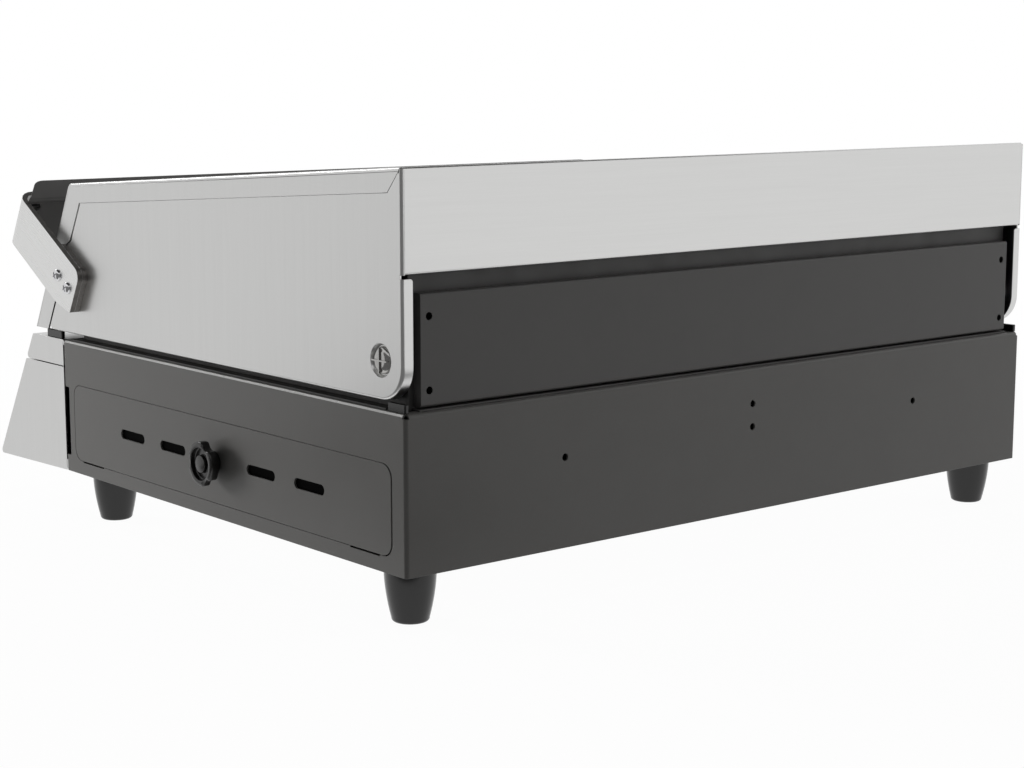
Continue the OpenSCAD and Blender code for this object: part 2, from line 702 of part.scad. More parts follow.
// Cast grates lie on the ledges of the firebox
grate_rim = 9;
grate_bar = 5;
grate_play = 1.5;
module grate() {
    x0 = grate_play / 2;
    x1 = box_side - box_t - grate_play;
    y0 = box_front + box_t + grate_play;
    y1 = box_rear - box_t - grate_play;
    y_mid = (y0 + y1) / 2;
    span = x1 - x0 - 2 * grate_rim + grate_bar;
    count = floor(span / (grate_gap + grate_bar));
    pitch = span / count;
    linear_extrude(grate_h) difference() {
        rectangle(x0, y0, x1, y1, 6);
        for (i = [0 : count - 1], far = [false, true]) translate([x0 + grate_rim + i * pitch, 0])
            rectangle(0, far ? y_mid + grate_bar / 2 : y0 + grate_rim, pitch - grate_bar,
                far ? y1 - grate_rim : y_mid - grate_bar / 2, 2, 2);
    }
}
module grate_left() { color(black) at_base() translate([0, 0, ledge_z]) mirror([1, 0, 0]) grate(); }
module grate_right() { color(black) at_base() translate([0, 0, ledge_z]) grate(); }

// Rests on the base that the closed lid comes down on
rest_in = 1.5;
rest_w = 3;
front_rest = [-base_d - 30, -base_d - 6];
rear_rest = [-19.5, -2];
module lid_rest(place, height) {
    translate([half_w - rest_in - rest_w, place[0], base_h])
        linear_extrude(height) rectangle(0, 0, rest_w, place[1] - place[0], 1);
}
module lid_rests() {
    color(black) at_base() both_sides() {
        lid_rest(front_rest, lid_gap - slip);
        lid_rest(rear_rest, lid_gap - 2 * slip);
    }
}

// Lid hinge: a bolt through the pressed dish, a bush and the firebox's side wall
dish_x = half_w - dish_depth;
module hinge_bolts() {
    color("silver") at_base() both_sides() translate([dish_x + slip, -hinge_d, axis_z]) rotate([0, 90, 0]) {
        difference() {
            pan_head(hinge_head_r, 2.9);
            for (a = [0, 90]) rotate(a) translate([0, 0, 2.9])
                cube([0.8, 1.7 * hinge_head_r, 1.2], center = true);
        }
        shank = dish_x + slip - box_side + box_t + 7;
        translate([0, 0, -shank]) cylinder(h = shank, r = hinge_pin_r);
    }
}
module hinge_bushes() {
    color("silver") at_base() both_sides() difference() {
        x_rod(box_side, dish_x - lid_t - slip, -hinge_d, axis_z, hinge_pin_r + 3);
        x_rod(box_side - 1, half_w, -hinge_d, axis_z, hinge_pin_r + run_gap);
    }
}
module hinge_nuts() {
    color("silver") at_base() both_sides() translate([box_side - box_t, -hinge_d, axis_z])
        rotate([0, -90, 0]) hex_nut(hinge_pin_r + 3.5, 5, hinge_pin_r + run_gap);
}

// Lid: a cover folded over its rear, top and front, and a plate on each side
// Side profile of the lid, seen along X: rear bottom, rear top, front top, front bottom
lid_line = [[-lid_face_in, rear_low_z], [-lid_face_in, rear_top_z],
    [lid_top_back - base_d, front_top_z], [-base_d - lid_nose, lid_bottom_z]];
top_dir = unit(lid_line[2] - lid_line[1]);
front_dir = unit(lid_line[3] - lid_line[2]);
fold_in = lid_edge_r - lid_t;
cover_half = half_w - lid_edge_r - 0.2;
relief = lid_edge_r + 0.8;
notch_h = 1.2;
hem_in = 5;
front_hem = 8;
tongue_low = base_h + 42;
tongue_high = base_h + 68.5;
mitre_at = 14;
// The front return is wider at its top than at its bottom, with an open seam behind it
return_lean = 1.2;
front_seam = 1.9;
// Where the lines at distance s under the lid's top and d behind its front meet
function inner_corner(s, d) =
    meet(lid_line[1] + left_of(top_dir) * s, top_dir, lid_line[2] + left_of(front_dir) * d, front_dir);
// Point at height z on the line at distance d behind the lid's front
function behind_front(d, z) =
    meet(lid_line[2] + left_of(front_dir) * d, front_dir, [0, z], [1, 0]);
// Point at depth y on the line at distance s under the lid's top
function under_top(s, y) = meet(lid_line[1] + left_of(top_dir) * s, top_dir, [y, 0], [0, 1]);

// Lays a profile drawn in (X, outward) along the lid's outer line from a to b
module edge_run(a, b) {
    translate([0, b.x, b.y]) rotate([atan2(a.y - b.y, a.x - b.x), 0, 0])
        along(0, norm(b - a)) children();
}
// The fold is a hair thicker than the sheet, so that the two join cleanly
join = 0.02;
function side_fold(lap) = sheet_outline([[cover_half - 1, join], [half_w - join, join], [half_w - join, -lap]],
    -lid_t - 4 * join, fold_in - 3 * join);
// Strip of the cover that lies in the side's plane, drawn larger by g along the top and by f along the
// front for the seam round it
module return_strip(g, f) {
    low = lid_bottom_z - f;
    edge = lid_edge_r + 0.5;
    near = front_return - 10;
    far = front_return + 3;
    top = tongue_high - f;
    foot = tongue_low + f;
    difference() {
        polygon([under_top(edge, -lid_face_in - relief + g),
            under_top(top_return + g, -lid_face_in - mitre_at + g),
            inner_corner(top_return + g, front_return + return_lean + f),
            behind_front(front_return - return_lean + f, low),
            behind_front(edge, low), inner_corner(edge, edge)]);
        polygon(round_shape([behind_front(edge - 1, foot), behind_front(edge - 1, top),
            behind_front(near, top), behind_front(far, top + 9), behind_front(far, foot - 9),
            behind_front(near, foot)], [0, 0, 5, 0, 0, 5]));
    }
}
module lid_cover() {
    fit = corner_fit(lid_line[1], lid_line[2], lid_line[3], lid_corner_r);
    fold = side_fold(lid_edge_r + 1);
    radii = [0, lid_edge_r, lid_edge_r, lid_corner_r, lid_edge_r, 0];
    wrap = concat([lid_line[0] - [hem_in, 0]], lid_line, [lid_line[3] + [front_hem, 0]]);
    n_top = -left_of(top_dir);
    n_front = -left_of(front_dir);
    color(stainless) at_base() difference() {
        union() {
            across(-cover_half, cover_half) polygon(concat(round_path(wrap, radii),
                reversed(round_path(shift_path(wrap, lid_t), [for (r = radii) max(r - lid_t, 0)]))));
            both_sides() {
                edge_run(under_top(0, -lid_face_in - relief), fit[1]) polygon(fold);
                edge_run(fit[2], behind_front(0, lid_bottom_z - 4)) polygon(fold);
                translate([0, fit[0].x, fit[0].y]) rotate([90, 0, 90]) rotate(atan2(n_top.y, n_top.x))
                    rotate_extrude(angle = acos(n_top * n_front))
                        polygon([for (q = fold) [lid_corner_r + q.y, q.x]]);
                across(half_w - lid_t, half_w) return_strip(0, 0);
            }
        }
        translate([-half_w - 1, -base_d - lid_nose - 10, 0]) cube([body_w + 2, 60, lid_bottom_z]);
    }
}
// Hem that folds the side plate inwards along its rear and bottom edges
function hem_fold(x, from = -1) =
    sheet_outline([[half_w, from], [half_w, lid_edge_r], [x, lid_edge_r]], lid_t, fold_in);
side_r = hinge_d - lid_face_in;
hub_z = lid_bottom_z + side_r;
hem_front_y = behind_front(front_return + front_seam, lid_bottom_z + lid_edge_r + 1).x;
// Open slot between the rear panel's lower edge and the rear hem's rounded end
slot_h = 2.3;
hem_end_r = 2;
module lid_side() {
    rear_y = -lid_face_in - lid_edge_r;
    flat_z = lid_bottom_z + lid_edge_r;
    lip = lid_edge_r + 1 + seam;
    r = side_r - lid_edge_r;
    hem_x = half_w - lid_hem;
    hem_end = rear_low_z - slot_h;
    lap = 8;
    lap_in = 21;
    difference() {
        union() {
            across(half_w - lid_t, half_w) difference() {
                polygon(round_shape([[rear_y - 0.5, flat_z + 0.5], [rear_y - 0.5, under_top(lip, rear_y).y],
                    inner_corner(lip, lip), behind_front(lip, flat_z + 0.5)], [r - 0.5, 0, 3, 0]));
                return_strip(seam, front_seam);
            }
            // Lap plates behind the seams, where the cover's strips are welded on
            across(half_w - 2 * lid_t, half_w - lid_t) {
                polygon([under_top(lip, -lid_face_in - lap_in),
                    under_top(top_return + lap, -lid_face_in - lap_in),
                    inner_corner(top_return + lap, front_return + lap), inner_corner(lip, lip)]);
                polygon([inner_corner(lip, lip), inner_corner(top_return + lap, front_return + lap),
                    behind_front(front_return + lap, tongue_high + 12), behind_front(lip, tongue_high + 4)]);
            }
            translate([0, rear_y, hub_z]) linear_extrude(hem_end - hub_z) polygon(hem_fold(hem_x));
            translate([0, rear_y, rear_low_z]) {
                linear_extrude(rear_top_z - lip - 0.5 - rear_low_z) polygon(hem_fold(cover_half));
                linear_extrude(rear_top_z - notch_h - rear_low_z) polygon(hem_fold(cover_half, 0));
            }
            translate([0, 0, flat_z]) mirror([0, 0, 1]) along(hem_front_y, -hinge_d) polygon(hem_fold(hem_x));
            translate([0, -hinge_d, hub_z]) rotate([90, 0, 90]) rotate(-90) rotate_extrude(angle = 90)
                polygon([for (q = hem_fold(hem_x)) [r + q.y, q.x]]);
        }
        along(rear_y, 1 - lid_face_in) translate([hem_x, hem_end]) difference() {
            translate([-1, -hem_end_r]) square(hem_end_r + 1);
            translate([hem_end_r, -hem_end_r]) circle(hem_end_r);
        }
        x_rod(half_w - 2 * lid_t, half_w + 1, -hinge_d, axis_z, dish_r + 0.5);
        for (p = handle_holes) on_arm() x_rod(half_w - 3 * lid_t, half_w + 1, p.x, p.y, screw_r + run_gap);
    }
    translate([half_w, -hinge_d, axis_z]) rotate([0, 90, 0]) rotate_extrude()
        polygon([[hinge_pin_r + run_gap, -dish_depth], [dish_r - 1.4, -dish_depth], [dish_r, 0],
            [dish_r + 1, 0], [dish_r + 1, -lid_t], [dish_r - 1.4 + lid_t, -dish_depth - lid_t],
            [hinge_pin_r + run_gap, -dish_depth - lid_t]]);
}
module lid_side_left() { color(stainless) at_base() mirror([1, 0, 0]) lid_side(); }
module lid_side_right() { color(stainless) at_base() lid_side(); }

// Handle: drawn in the arm's own frame, local Y runs back down the arm and Z across its width
bar_front = 10;
screw_r = 2.5;
arm_rear = arm_len - bar_front;
handle_holes = [[arm_rear - 28, handle_w / 2], [arm_rear - 11, handle_w / 2]];
arm_in = half_w + handle_t;
arm_out = arm_in + handle_t;
handle_at = behind_front(-handle_out, base_h + handle_up);
module on_arm() {
    translate([0, handle_at.x, handle_at.y]) rotate([-arm_angle, 0, 0]) children();
}
// The arm's rear end has a slanting lower corner
arm_slant = [22, 5];
arm_shape = round_shape([[-bar_front - 1, 0], [arm_rear - arm_slant[0], 0], [arm_rear, arm_slant[1]],
    [arm_rear, handle_w], [-bar_front - 1, handle_w]], [0, 12, 2, 8, 0]);
module handle_bar() {
    color(stainless) at_base() on_arm() difference() {
        intersection() {
            linear_extrude(handle_w)
                sheet([[arm_out, arm_rear + 1], [arm_out, -bar_front], [-arm_out, -bar_front],
                    [-arm_out, arm_rear + 1]], -handle_t, handle_bend_r - handle_t);
            across(-arm_out - 1, arm_out + 1) polygon(arm_shape);
        }
        both_sides() for (p = handle_holes) x_rod(arm_in - 1, arm_out + 1, p.x, p.y, screw_r + run_gap);
    }
}
spacer_len = 39.5;
module handle_spacers() {
    color(stainless) at_base() on_arm() both_sides() difference() {
        across(half_w, arm_in) intersection() {
            polygon(arm_shape);
            rectangle(arm_rear - spacer_len, -1, arm_rear + 1, handle_w + 1);
        }
        for (p = handle_holes) x_rod(half_w - 1, arm_out, p.x, p.y, screw_r + run_gap);
    }
}
guard_back = 4.5;
guard_lean = 32;
hood_in = 3;
// A slot in each end of the guard, open to the arm
guard_slot = [15, 6.5];
module handle_guard() {
    top = handle_w + guard_t;
    front = guard_back - guard_t - guard_hood;
    half = [[arm_in, guard_back + 1], [arm_in, guard_back - guard_t], [arm_in - hood_in, 0],
        [arm_in - hood_in + front * tan(guard_lean), front]];
    color(dark) at_base() on_arm() difference() {
        intersection() {
            across(-arm_in, arm_in) sheet([[guard_back, 0], [guard_back, top], [front, top]],
                guard_t, 1.5);
            linear_extrude(top + 1) polygon(round_shape(concat(half, [for (q = reversed(half)) [-q.x, q.y]]),
                [0, 0, 0, guard_corner_r, guard_corner_r, 0, 0, 0]));
        }
        both_sides() along(0, guard_back + 1) translate([half_w + 1, handle_w - 5])
            pill(guard_slot[0], guard_slot[1]);
    }
}
module handle_screws() {
    color("silver") at_base() on_arm() both_sides() for (p = handle_holes) {
        translate([arm_out, p.x, p.y]) rotate([0, 90, 0]) pan_head(4.6, screw_head_h);
        x_rod(half_w - 7.5, arm_out, p.x, p.y, screw_r);
    }
}
module handle_nuts() {
    color("silver") at_base() on_arm() both_sides() for (p = handle_holes)
        translate([half_w - lid_t, p.x, p.y]) rotate([0, -90, 0]) hex_nut(4.6, 4, screw_r + run_gap);
}

base_shell();
base_floor();
feet();
foot_screws();
tray_rails();
grease_tray();
tray_sides();
tray_ends();
tray_face();
tray_nut();
star_knob();
star_stud();
control_panel();
front_rail();
heat_knob();
heat_shaft();
heat_switch();
timer_knob();
timer_shaft();
timer_switch();
dial_rings();
pilot_lamp();
power_inlet();
inlet_pins();
inlet_screws();
firebox();
rear_cover();
element_left();
element_right();
element_rests();
terminal_blocks();
grate_left();
grate_right();
lid_rests();
hinge_bolts();
hinge_bushes();
hinge_nuts();
lid_cover();
lid_side_left();
lid_side_right();
handle_bar();
handle_guard();
handle_spacers();
handle_screws();
handle_nuts();
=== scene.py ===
import json
import math
import bmesh
import bpy
from mathutils import Matrix, Vector
from mathutils.bvhtree import BVHTree


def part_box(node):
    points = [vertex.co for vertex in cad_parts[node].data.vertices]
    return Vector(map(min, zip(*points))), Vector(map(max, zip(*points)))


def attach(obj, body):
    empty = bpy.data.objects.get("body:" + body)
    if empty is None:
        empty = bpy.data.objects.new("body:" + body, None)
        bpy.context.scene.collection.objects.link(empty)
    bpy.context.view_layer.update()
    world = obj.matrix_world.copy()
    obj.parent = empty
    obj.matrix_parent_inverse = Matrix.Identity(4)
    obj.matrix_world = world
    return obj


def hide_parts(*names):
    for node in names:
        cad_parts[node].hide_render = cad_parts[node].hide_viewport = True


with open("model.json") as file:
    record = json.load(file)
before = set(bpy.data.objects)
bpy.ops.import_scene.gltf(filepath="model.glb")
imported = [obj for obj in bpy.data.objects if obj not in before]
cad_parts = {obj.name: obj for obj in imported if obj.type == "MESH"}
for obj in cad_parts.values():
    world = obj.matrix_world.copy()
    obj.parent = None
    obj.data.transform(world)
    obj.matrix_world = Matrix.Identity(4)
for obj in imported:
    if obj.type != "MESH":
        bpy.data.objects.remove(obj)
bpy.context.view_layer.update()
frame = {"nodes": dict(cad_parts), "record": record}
nodes = frame["nodes"]
scene = bpy.context.scene
print("frame loaded:", len(nodes), "CAD nodes")

# Places are in millimetres from the middle of the base's rear bottom edge, as in the part's source
mm = 0.001
tiny = 1e-6  # in metres; corners closer than this are one
arcSteps = 6  # steps in a small rounded corner
baseLow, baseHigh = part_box("base_shell")
baseOrigin = Vector(((baseLow.x + baseHigh.x) / 2, baseHigh.y, baseLow.z))


def place(x, y, z):
    return baseOrigin + Vector((x, y, z)) * mm


def linear(hexText):  # sRGB hex to linear colour
    values = [int(hexText[i:i + 2], 16) / 255 for i in (1, 3, 5)]
    return [v / 12.92 if v <= 0.04045 else ((v + 0.055) / 1.055) ** 2.4 for v in values] + [1]


def addNode(tree, kind, settings=None, inputs=None):
    node = tree.nodes.new(kind)
    for key, value in (settings or {}).items():
        setattr(node, key, value)
    for key, value in (inputs or {}).items():
        if isinstance(value, bpy.types.NodeSocket):
            tree.links.new(value, node.inputs[key])
        else:
            node.inputs[key].default_value = value
    return node


# Materials
def emptyMaterial(name):
    material = bpy.data.materials.new(name)
    material.use_nodes = True
    material.node_tree.nodes.clear()
    return material, material.node_tree


def newMaterial(name, inputs):
    material, tree = emptyMaterial(name)
    shader = addNode(tree, "ShaderNodeBsdfPrincipled", inputs=inputs)
    addNode(tree, "ShaderNodeOutputMaterial", inputs={"Surface": shader.outputs[0]})
    coords = addNode(tree, "ShaderNodeTexCoord")
    return material, tree, shader, coords


def mixed(tree, first, second, share):  # two noises, share being the first one's
    rest = addNode(tree, "ShaderNodeMath", {"operation": "MULTIPLY"}, {0: second, 1: 1 - share})
    both = addNode(tree, "ShaderNodeMath", {"operation": "MULTIPLY_ADD"}, {
        0: first, 1: share, 2: rest.outputs[0]})
    return both.outputs[0]


noiseRange = (0.3, 0.7)  # where a noise mostly stays


# Tone, gloss and relief of a surface, each from a noise
def dressSurface(tree, shader, tone, gloss, relief, values):
    rough, vary = values["roughness"], values["vary"]
    spread = []
    for noise, low, high in ((tone, 0, 1), (gloss, rough - vary, rough + vary)):
        mapped = addNode(tree, "ShaderNodeMapRange", inputs={"Value": noise, "From Min": noiseRange[0],
            "From Max": noiseRange[1], "To Min": low, "To Max": high})
        spread.append(mapped.outputs[0])
    colour = addNode(tree, "ShaderNodeMix", {"data_type": "RGBA"}, {
        0: spread[0], 6: linear(values["dark"]), 7: linear(values["light"])})
    bump = addNode(tree, "ShaderNodeBump", inputs={
        "Strength": values["bump"], "Distance": values["height"] * mm, "Height": relief})
    tree.links.new(colour.outputs[2], shader.inputs["Base Color"])
    tree.links.new(spread[1], shader.inputs["Roughness"])
    tree.links.new(bump.outputs[0], shader.inputs["Normal"])


# Cold-rolled stainless, brushed: fine lines along the sheet, which turn upright where it folds over a
# side. The real grit leaves lines of 0.1 mm, drawn here 0.5 to 0.7 mm wide so that they show.
brushing = {"vary": 0.025, "height": 0.1, "bump": 0.03, "sideFrom": 0.8, "streakLength": 3,
    "streakShare": 0.5}


def brushedStainless(name, values):
    values = {**brushing, **values}
    material, tree, shader, coords = newMaterial(name, {"Metallic": 1.0})
    parts = addNode(tree, "ShaderNodeSeparateXYZ", inputs={0: coords.outputs["Normal"]})
    sideways = addNode(tree, "ShaderNodeMath", {"operation": "ABSOLUTE"}, {0: parts.outputs[0]})
    onSide = addNode(tree, "ShaderNodeMath", {"operation": "GREATER_THAN"}, {
        0: sideways.outputs[0], 1: values["sideFrom"]})
    turned = addNode(tree, "ShaderNodeMapping", inputs={
        "Vector": coords.outputs["Object"], "Rotation": (math.radians(values["sideAngle"]), 0, 0)})
    noises = []
    for width, length in ((values["line"], values["length"]),
            (values["streak"], values["length"] * values["streakLength"])):
        fine, slow = 1 / (width * mm), 1 / (length * mm)
        along = addNode(tree, "ShaderNodeVectorMath", {"operation": "MULTIPLY"}, {
            0: coords.outputs["Object"], 1: (slow, fine, fine)})
        across = addNode(tree, "ShaderNodeVectorMath", {"operation": "MULTIPLY"}, {
            0: turned.outputs[0], 1: (fine, slow, fine)})
        chosen = addNode(tree, "ShaderNodeMix", {"data_type": "VECTOR"}, {
            0: onSide.outputs[0], 4: along.outputs[0], 5: across.outputs[0]})
        noise = addNode(tree, "ShaderNodeTexNoise", inputs={
            "Vector": chosen.outputs[1], "Scale": 1.0, "Detail": 3.0, "Roughness": 0.6})
        noises.append(noise.outputs[0])
    lines, streaks = noises
    tone = mixed(tree, streaks, lines, values["streakShare"])
    dressSurface(tree, shader, tone, tone, lines, values)
    return material


# Painted, plated and moulded surfaces: a fine grain in the coat, and slow changes of tone and gloss
# (grain, patch and height in mm)
coating = {"metallic": 0.0, "ior": 1.5, "specular": 0.5, "speckle": 0.3, "vary": 0.04, "bump": 0.1,
    "height": 0.05}


def coated(name, values):
    values = {**coating, **values}
    material, tree, shader, coords = newMaterial(name, {
        "Metallic": values["metallic"], "IOR": values["ior"], "Specular IOR Level": values["specular"]})
    noises = []
    for key, detail, roughness in (("grain", 2.0, 0.5), ("patch", 3.0, 0.6)):
        noise = addNode(tree, "ShaderNodeTexNoise", inputs={"Vector": coords.outputs["Object"],
            "Scale": 1 / (values[key] * mm), "Detail": detail, "Roughness": roughness})
        noises.append(noise.outputs[0])
    grain, patches = noises
    dressSurface(tree, shader, mixed(tree, grain, patches, values["speckle"]), patches, grain, values)
    return material


stainlessSheet = brushedStainless("brushed_stainless_sheet", {
    "light": "#d4d4d3", "dark": "#cfcfce", "line": 0.7, "length": 60, "streak": 5, "roughness": 0.3,
    "sideAngle": 90})
# Flat bar is brushed along its length, so the lines on the arms follow their slope; a little brighter
stainlessStrip = brushedStainless("brushed_stainless_strip", {
    "light": "#e2e2e1", "dark": "#dcdcdb", "line": 0.5, "length": 40, "streak": 4, "roughness": 0.28,
    "sideAngle": 29.7})
# Sheared edges of the flat bar: torn grey steel, duller than the brushed face, and drawn darker still as
# painted shade on the narrow edges
shearedEdgeAndShade = coated("sheared_edge_and_painted_shade", {
    "light": "#8d8a87", "dark": "#5f5d5b", "grain": 0.5, "patch": 3, "roughness": 0.42, "bump": 0.3,
    "height": 0.06, "metallic": 1.0, "speckle": 0.6})
# Baked satin paint on sheet steel: a faint orange peel and an even, low gloss
satinPaint = coated("satin_grey_paint", {
    "light": "#5d5c5a", "dark": "#575654", "grain": 0.9, "patch": 60, "roughness": 0.36, "bump": 0.08,
    "height": 0.03, "specular": 0.35})
# The same paint drawn pale and shinier on the folded top edge: a painted highlight, standing in for the line
# of light that the fold catches
paintedHighlightPaint = coated("painted_highlight_edge", {
    "light": "#c2c2c0", "dark": "#b4b4b2", "grain": 0.9, "patch": 30, "roughness": 0.3, "bump": 0.05,
    "height": 0.02})
# A darker satin paint, on the rear cover, the guard and the dial rings
darkPaint = coated("satin_dark_paint", {
    "light": "#525150", "dark": "#4c4b4a", "grain": 0.8, "patch": 50, "roughness": 0.38, "bump": 0.08,
    "height": 0.03, "specular": 0.35})
# Heat-proof enamel on the firebox, a little rougher and blotched where it gets hot
heatPaint = coated("heatproof_enamel", {
    "light": "#373635", "dark": "#2e2d2c", "grain": 0.6, "patch": 24, "roughness": 0.5, "bump": 0.2,
    "vary": 0.08})
# Moulded rubber from a polished mould: deep black with a smooth, soft highlight
mouldedRubber = coated("moulded_rubber", {
    "light": "#0e0d0c", "dark": "#090908", "grain": 0.5, "patch": 12, "roughness": 0.2,
    "height": 0.04})
# Glass-filled nylon of the knobs: black, with a fine moulded grain under a low shine
mouldedNylon = coated("moulded_nylon", {
    "light": "#171615", "dark": "#100f0e", "grain": 0.4, "patch": 9, "roughness": 0.2,
    "height": 0.03})
# Zinc-plated steel: cool grey, with a slight mottle
zincPlate = coated("zinc_plated_steel", {
    "light": "#c3c5c6", "dark": "#a9abad", "grain": 1.2, "patch": 7, "roughness": 0.34,
    "metallic": 1.0, "speckle": 0.4})
# Enamel in the grease tray: near black, dulled by fine pits
trayEnamel = coated("black_tray_enamel", {
    "light": "#111111", "dark": "#0b0b0b", "grain": 1.2, "patch": 20, "roughness": 0.4,
    "specular": 0.35})
# The tray's outside: the enamel's matt ground coat, drawn near black as painted shade, so the vent slots
# before it look dark
groundCoatAndShade = coated("ground_coat_and_painted_shade", {
    "light": "#050505", "dark": "#030303", "grain": 1.0, "patch": 20, "roughness": 0.7,
    "height": 0.04, "specular": 0.02})
# Polished chrome plate: a clear mirror, a little blue
polishedChrome = coated("polished_chrome", {
    "light": "#dedee0", "dark": "#d2d2d4", "grain": 2.0, "patch": 8, "roughness": 0.12, "bump": 0.02,
    "metallic": 1.0, "vary": 0.03})
# Nickel plate on the hinge bolts, greyer and warmer than the chrome
nickelPlate = coated("nickel_plate", {
    "light": "#b4b3b1", "dark": "#a5a4a2", "grain": 1.5, "patch": 6, "roughness": 0.16, "bump": 0.03,
    "metallic": 1.0, "vary": 0.03})
# Sand-cast iron with baked oil: a pebbled skin and a low sheen
castIron = coated("seasoned_cast_iron", {
    "light": "#2b2927", "dark": "#1a1918", "grain": 0.9, "patch": 10, "roughness": 0.52, "bump": 0.55,
    "height": 0.16, "vary": 0.08, "metallic": 0.35})
# Sheathed element tube, blued and browned by heat
burntSheath = coated("heat_tinted_sheath", {
    "light": "#5a5450", "dark": "#37353a", "grain": 1.0, "patch": 18, "roughness": 0.4,
    "metallic": 0.9, "speckle": 0.15, "vary": 0.08})
# Steatite with a thin glaze: cream, smooth and softly shiny
glazedCeramic = coated("glazed_steatite", {
    "light": "#e4dfd0", "dark": "#d6d0bf", "grain": 0.8, "patch": 6, "roughness": 0.28, "bump": 0.08,
    "ior": 1.55})
# Brass under a thin nickel coat, which leaves the yellow pale
nickelBrass = coated("nickelled_brass", {
    "light": "#d0c08c", "dark": "#bda770", "grain": 1.0, "patch": 4, "roughness": 0.25, "bump": 0.04,
    "metallic": 1.0})
# Screen-printed ink: flat off-white
scaleInk = coated("white_scale_ink", {
    "light": "#dcdcd8", "dark": "#d2d2ce", "grain": 0.3, "patch": 5, "roughness": 0.5})
# Moulded acrylic of the pilot lamp, unlit: a deep glossy red
redLens = coated("red_lens", {
    "light": "#c32a1d", "dark": "#a51c13", "grain": 1.0, "patch": 4, "roughness": 0.12, "bump": 0.02,
    "ior": 1.49})

nodeFinishes = {
    satinPaint: ["base_shell", "tray_face"],
    zincPlate: ["base_floor", "foot_screws", "tray_rails", "tray_nut", "star_stud", "heat_shaft",
        "timer_shaft", "inlet_screws", "element_rests", "hinge_bushes", "hinge_nuts", "handle_nuts"],
    trayEnamel: ["grease_tray", "tray_sides", "tray_ends"],
    stainlessSheet: ["control_panel", "front_rail", "lid_cover", "lid_side_left", "lid_side_right"],
    stainlessStrip: ["handle_bar", "handle_spacers"],
    mouldedRubber: ["feet", "lid_rests"],
    mouldedNylon: ["star_knob", "heat_knob", "timer_knob", "power_inlet"],
    glazedCeramic: ["heat_switch", "timer_switch", "terminal_blocks"],
    darkPaint: ["dial_rings", "rear_cover", "handle_guard"],
    heatPaint: ["firebox"],
    redLens: ["pilot_lamp"],
    nickelBrass: ["inlet_pins"],
    burntSheath: ["element_left", "element_right"],
    castIron: ["grate_left", "grate_right"],
    polishedChrome: ["handle_screws"],
    nickelPlate: ["hinge_bolts"],
}
for material, names in nodeFinishes.items():
    for name in names:
        nodes[name].data.materials.clear()
        nodes[name].data.materials.append(material)
print("materials set on", sum(len(names) for names in nodeFinishes.values()), "nodes")


# Mesh helpers
def cleanMesh(name, work):
    work.normal_update()
    mesh = bpy.data.meshes.new(name)
    work.to_mesh(mesh)
    work.free()
    return mesh


def closedMesh(name, work):
    bmesh.ops.remove_doubles(work, verts=work.verts, dist=tiny)
    bmesh.ops.recalc_face_normals(work, faces=work.faces)
    return cleanMesh(name, work)


def holderOf(name, mesh):
    holder = bpy.data.objects.new(name, mesh)
    scene.collection.objects.link(holder)
    return holder


def evaluated(holder):
    depsgraph = bpy.context.evaluated_depsgraph_get()
    return bpy.data.meshes.new_from_object(holder.evaluated_get(depsgraph), preserve_all_data_layers=True,
        depsgraph=depsgraph)


def drop(holder):
    bpy.data.objects.remove(holder, do_unlink=True)


def smoothShade(mesh, angle):
    mesh.polygons.foreach_set("use_smooth", [True] * len(mesh.polygons))
    mesh.set_sharp_from_angle(angle=math.radians(angle))


def finishPiece(name, mesh, material, body, replaced=()):
    mesh.materials.clear()
    mesh.materials.append(material)
    mesh.polygons.foreach_set("material_index", [0] * len(mesh.polygons))
    mesh.name = name
    piece = holderOf(name, mesh)
    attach(piece, body)
    if replaced:
        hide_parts(*replaced)
    return piece


# Turns a profile of (radius, height) about Z; a radius of 0 closes it at a pole, and a list of radii
# gives one for each step of the turn
def lathe(name, profile, steps):
    work = bmesh.new()
    rings = []
    for radius, height in profile:
        radii = radius if isinstance(radius, list) else [radius] * steps
        count = 1 if max(radii) == 0 else steps
        rings.append([work.verts.new((radii[k] * math.cos(2 * math.pi * k / steps) * mm,
            radii[k] * math.sin(2 * math.pi * k / steps) * mm, height * mm)) for k in range(count)])
    for upper, lower in zip(rings, rings[1:]):
        for k in range(steps):
            after = (k + 1) % steps
            corners = [upper[k % len(upper)], upper[after % len(upper)], lower[after % len(lower)],
                lower[k % len(lower)]]
            corners = list(dict.fromkeys(corners))
            if len(corners) > 2:
                work.faces.new(corners)
    return closedMesh(name, work)


# A circle with round valleys cut into its rim, as a radius for each step of the turn; each pass of
# ease rounds the cusps a little more
def scalloped(outer, valleyRadius, valleyOut, angles, steps, ease):
    outline = []
    for k in range(steps):
        reach = outer
        for angle in angles:
            away = 2 * math.pi * k / steps - math.radians(angle)
            under = valleyRadius ** 2 - (valleyOut * math.sin(away)) ** 2
            if under > 0 and math.cos(away) > 0:
                reach = min(reach, valleyOut * math.cos(away) - math.sqrt(under))
        outline.append(reach)
    for easing in range(ease):
        outline = [(outline[k - 1] + outline[k] + outline[(k + 1) % steps]) / 3 for k in range(steps)]
    return outline


def inset(radius, by):
    return [each - by for each in radius] if isinstance(radius, list) else radius - by


# One ring after another joined by quads, with the two ends closed where capped
def ringWalls(work, rings, capped):
    for lower, upper in zip(rings, rings[1:]):
        for k in range(len(lower)):
            after = (k + 1) % len(lower)
            work.faces.new((lower[k], lower[after], upper[after], upper[k]))
    if capped:
        work.faces.new(rings[0])
        work.faces.new(rings[-1])


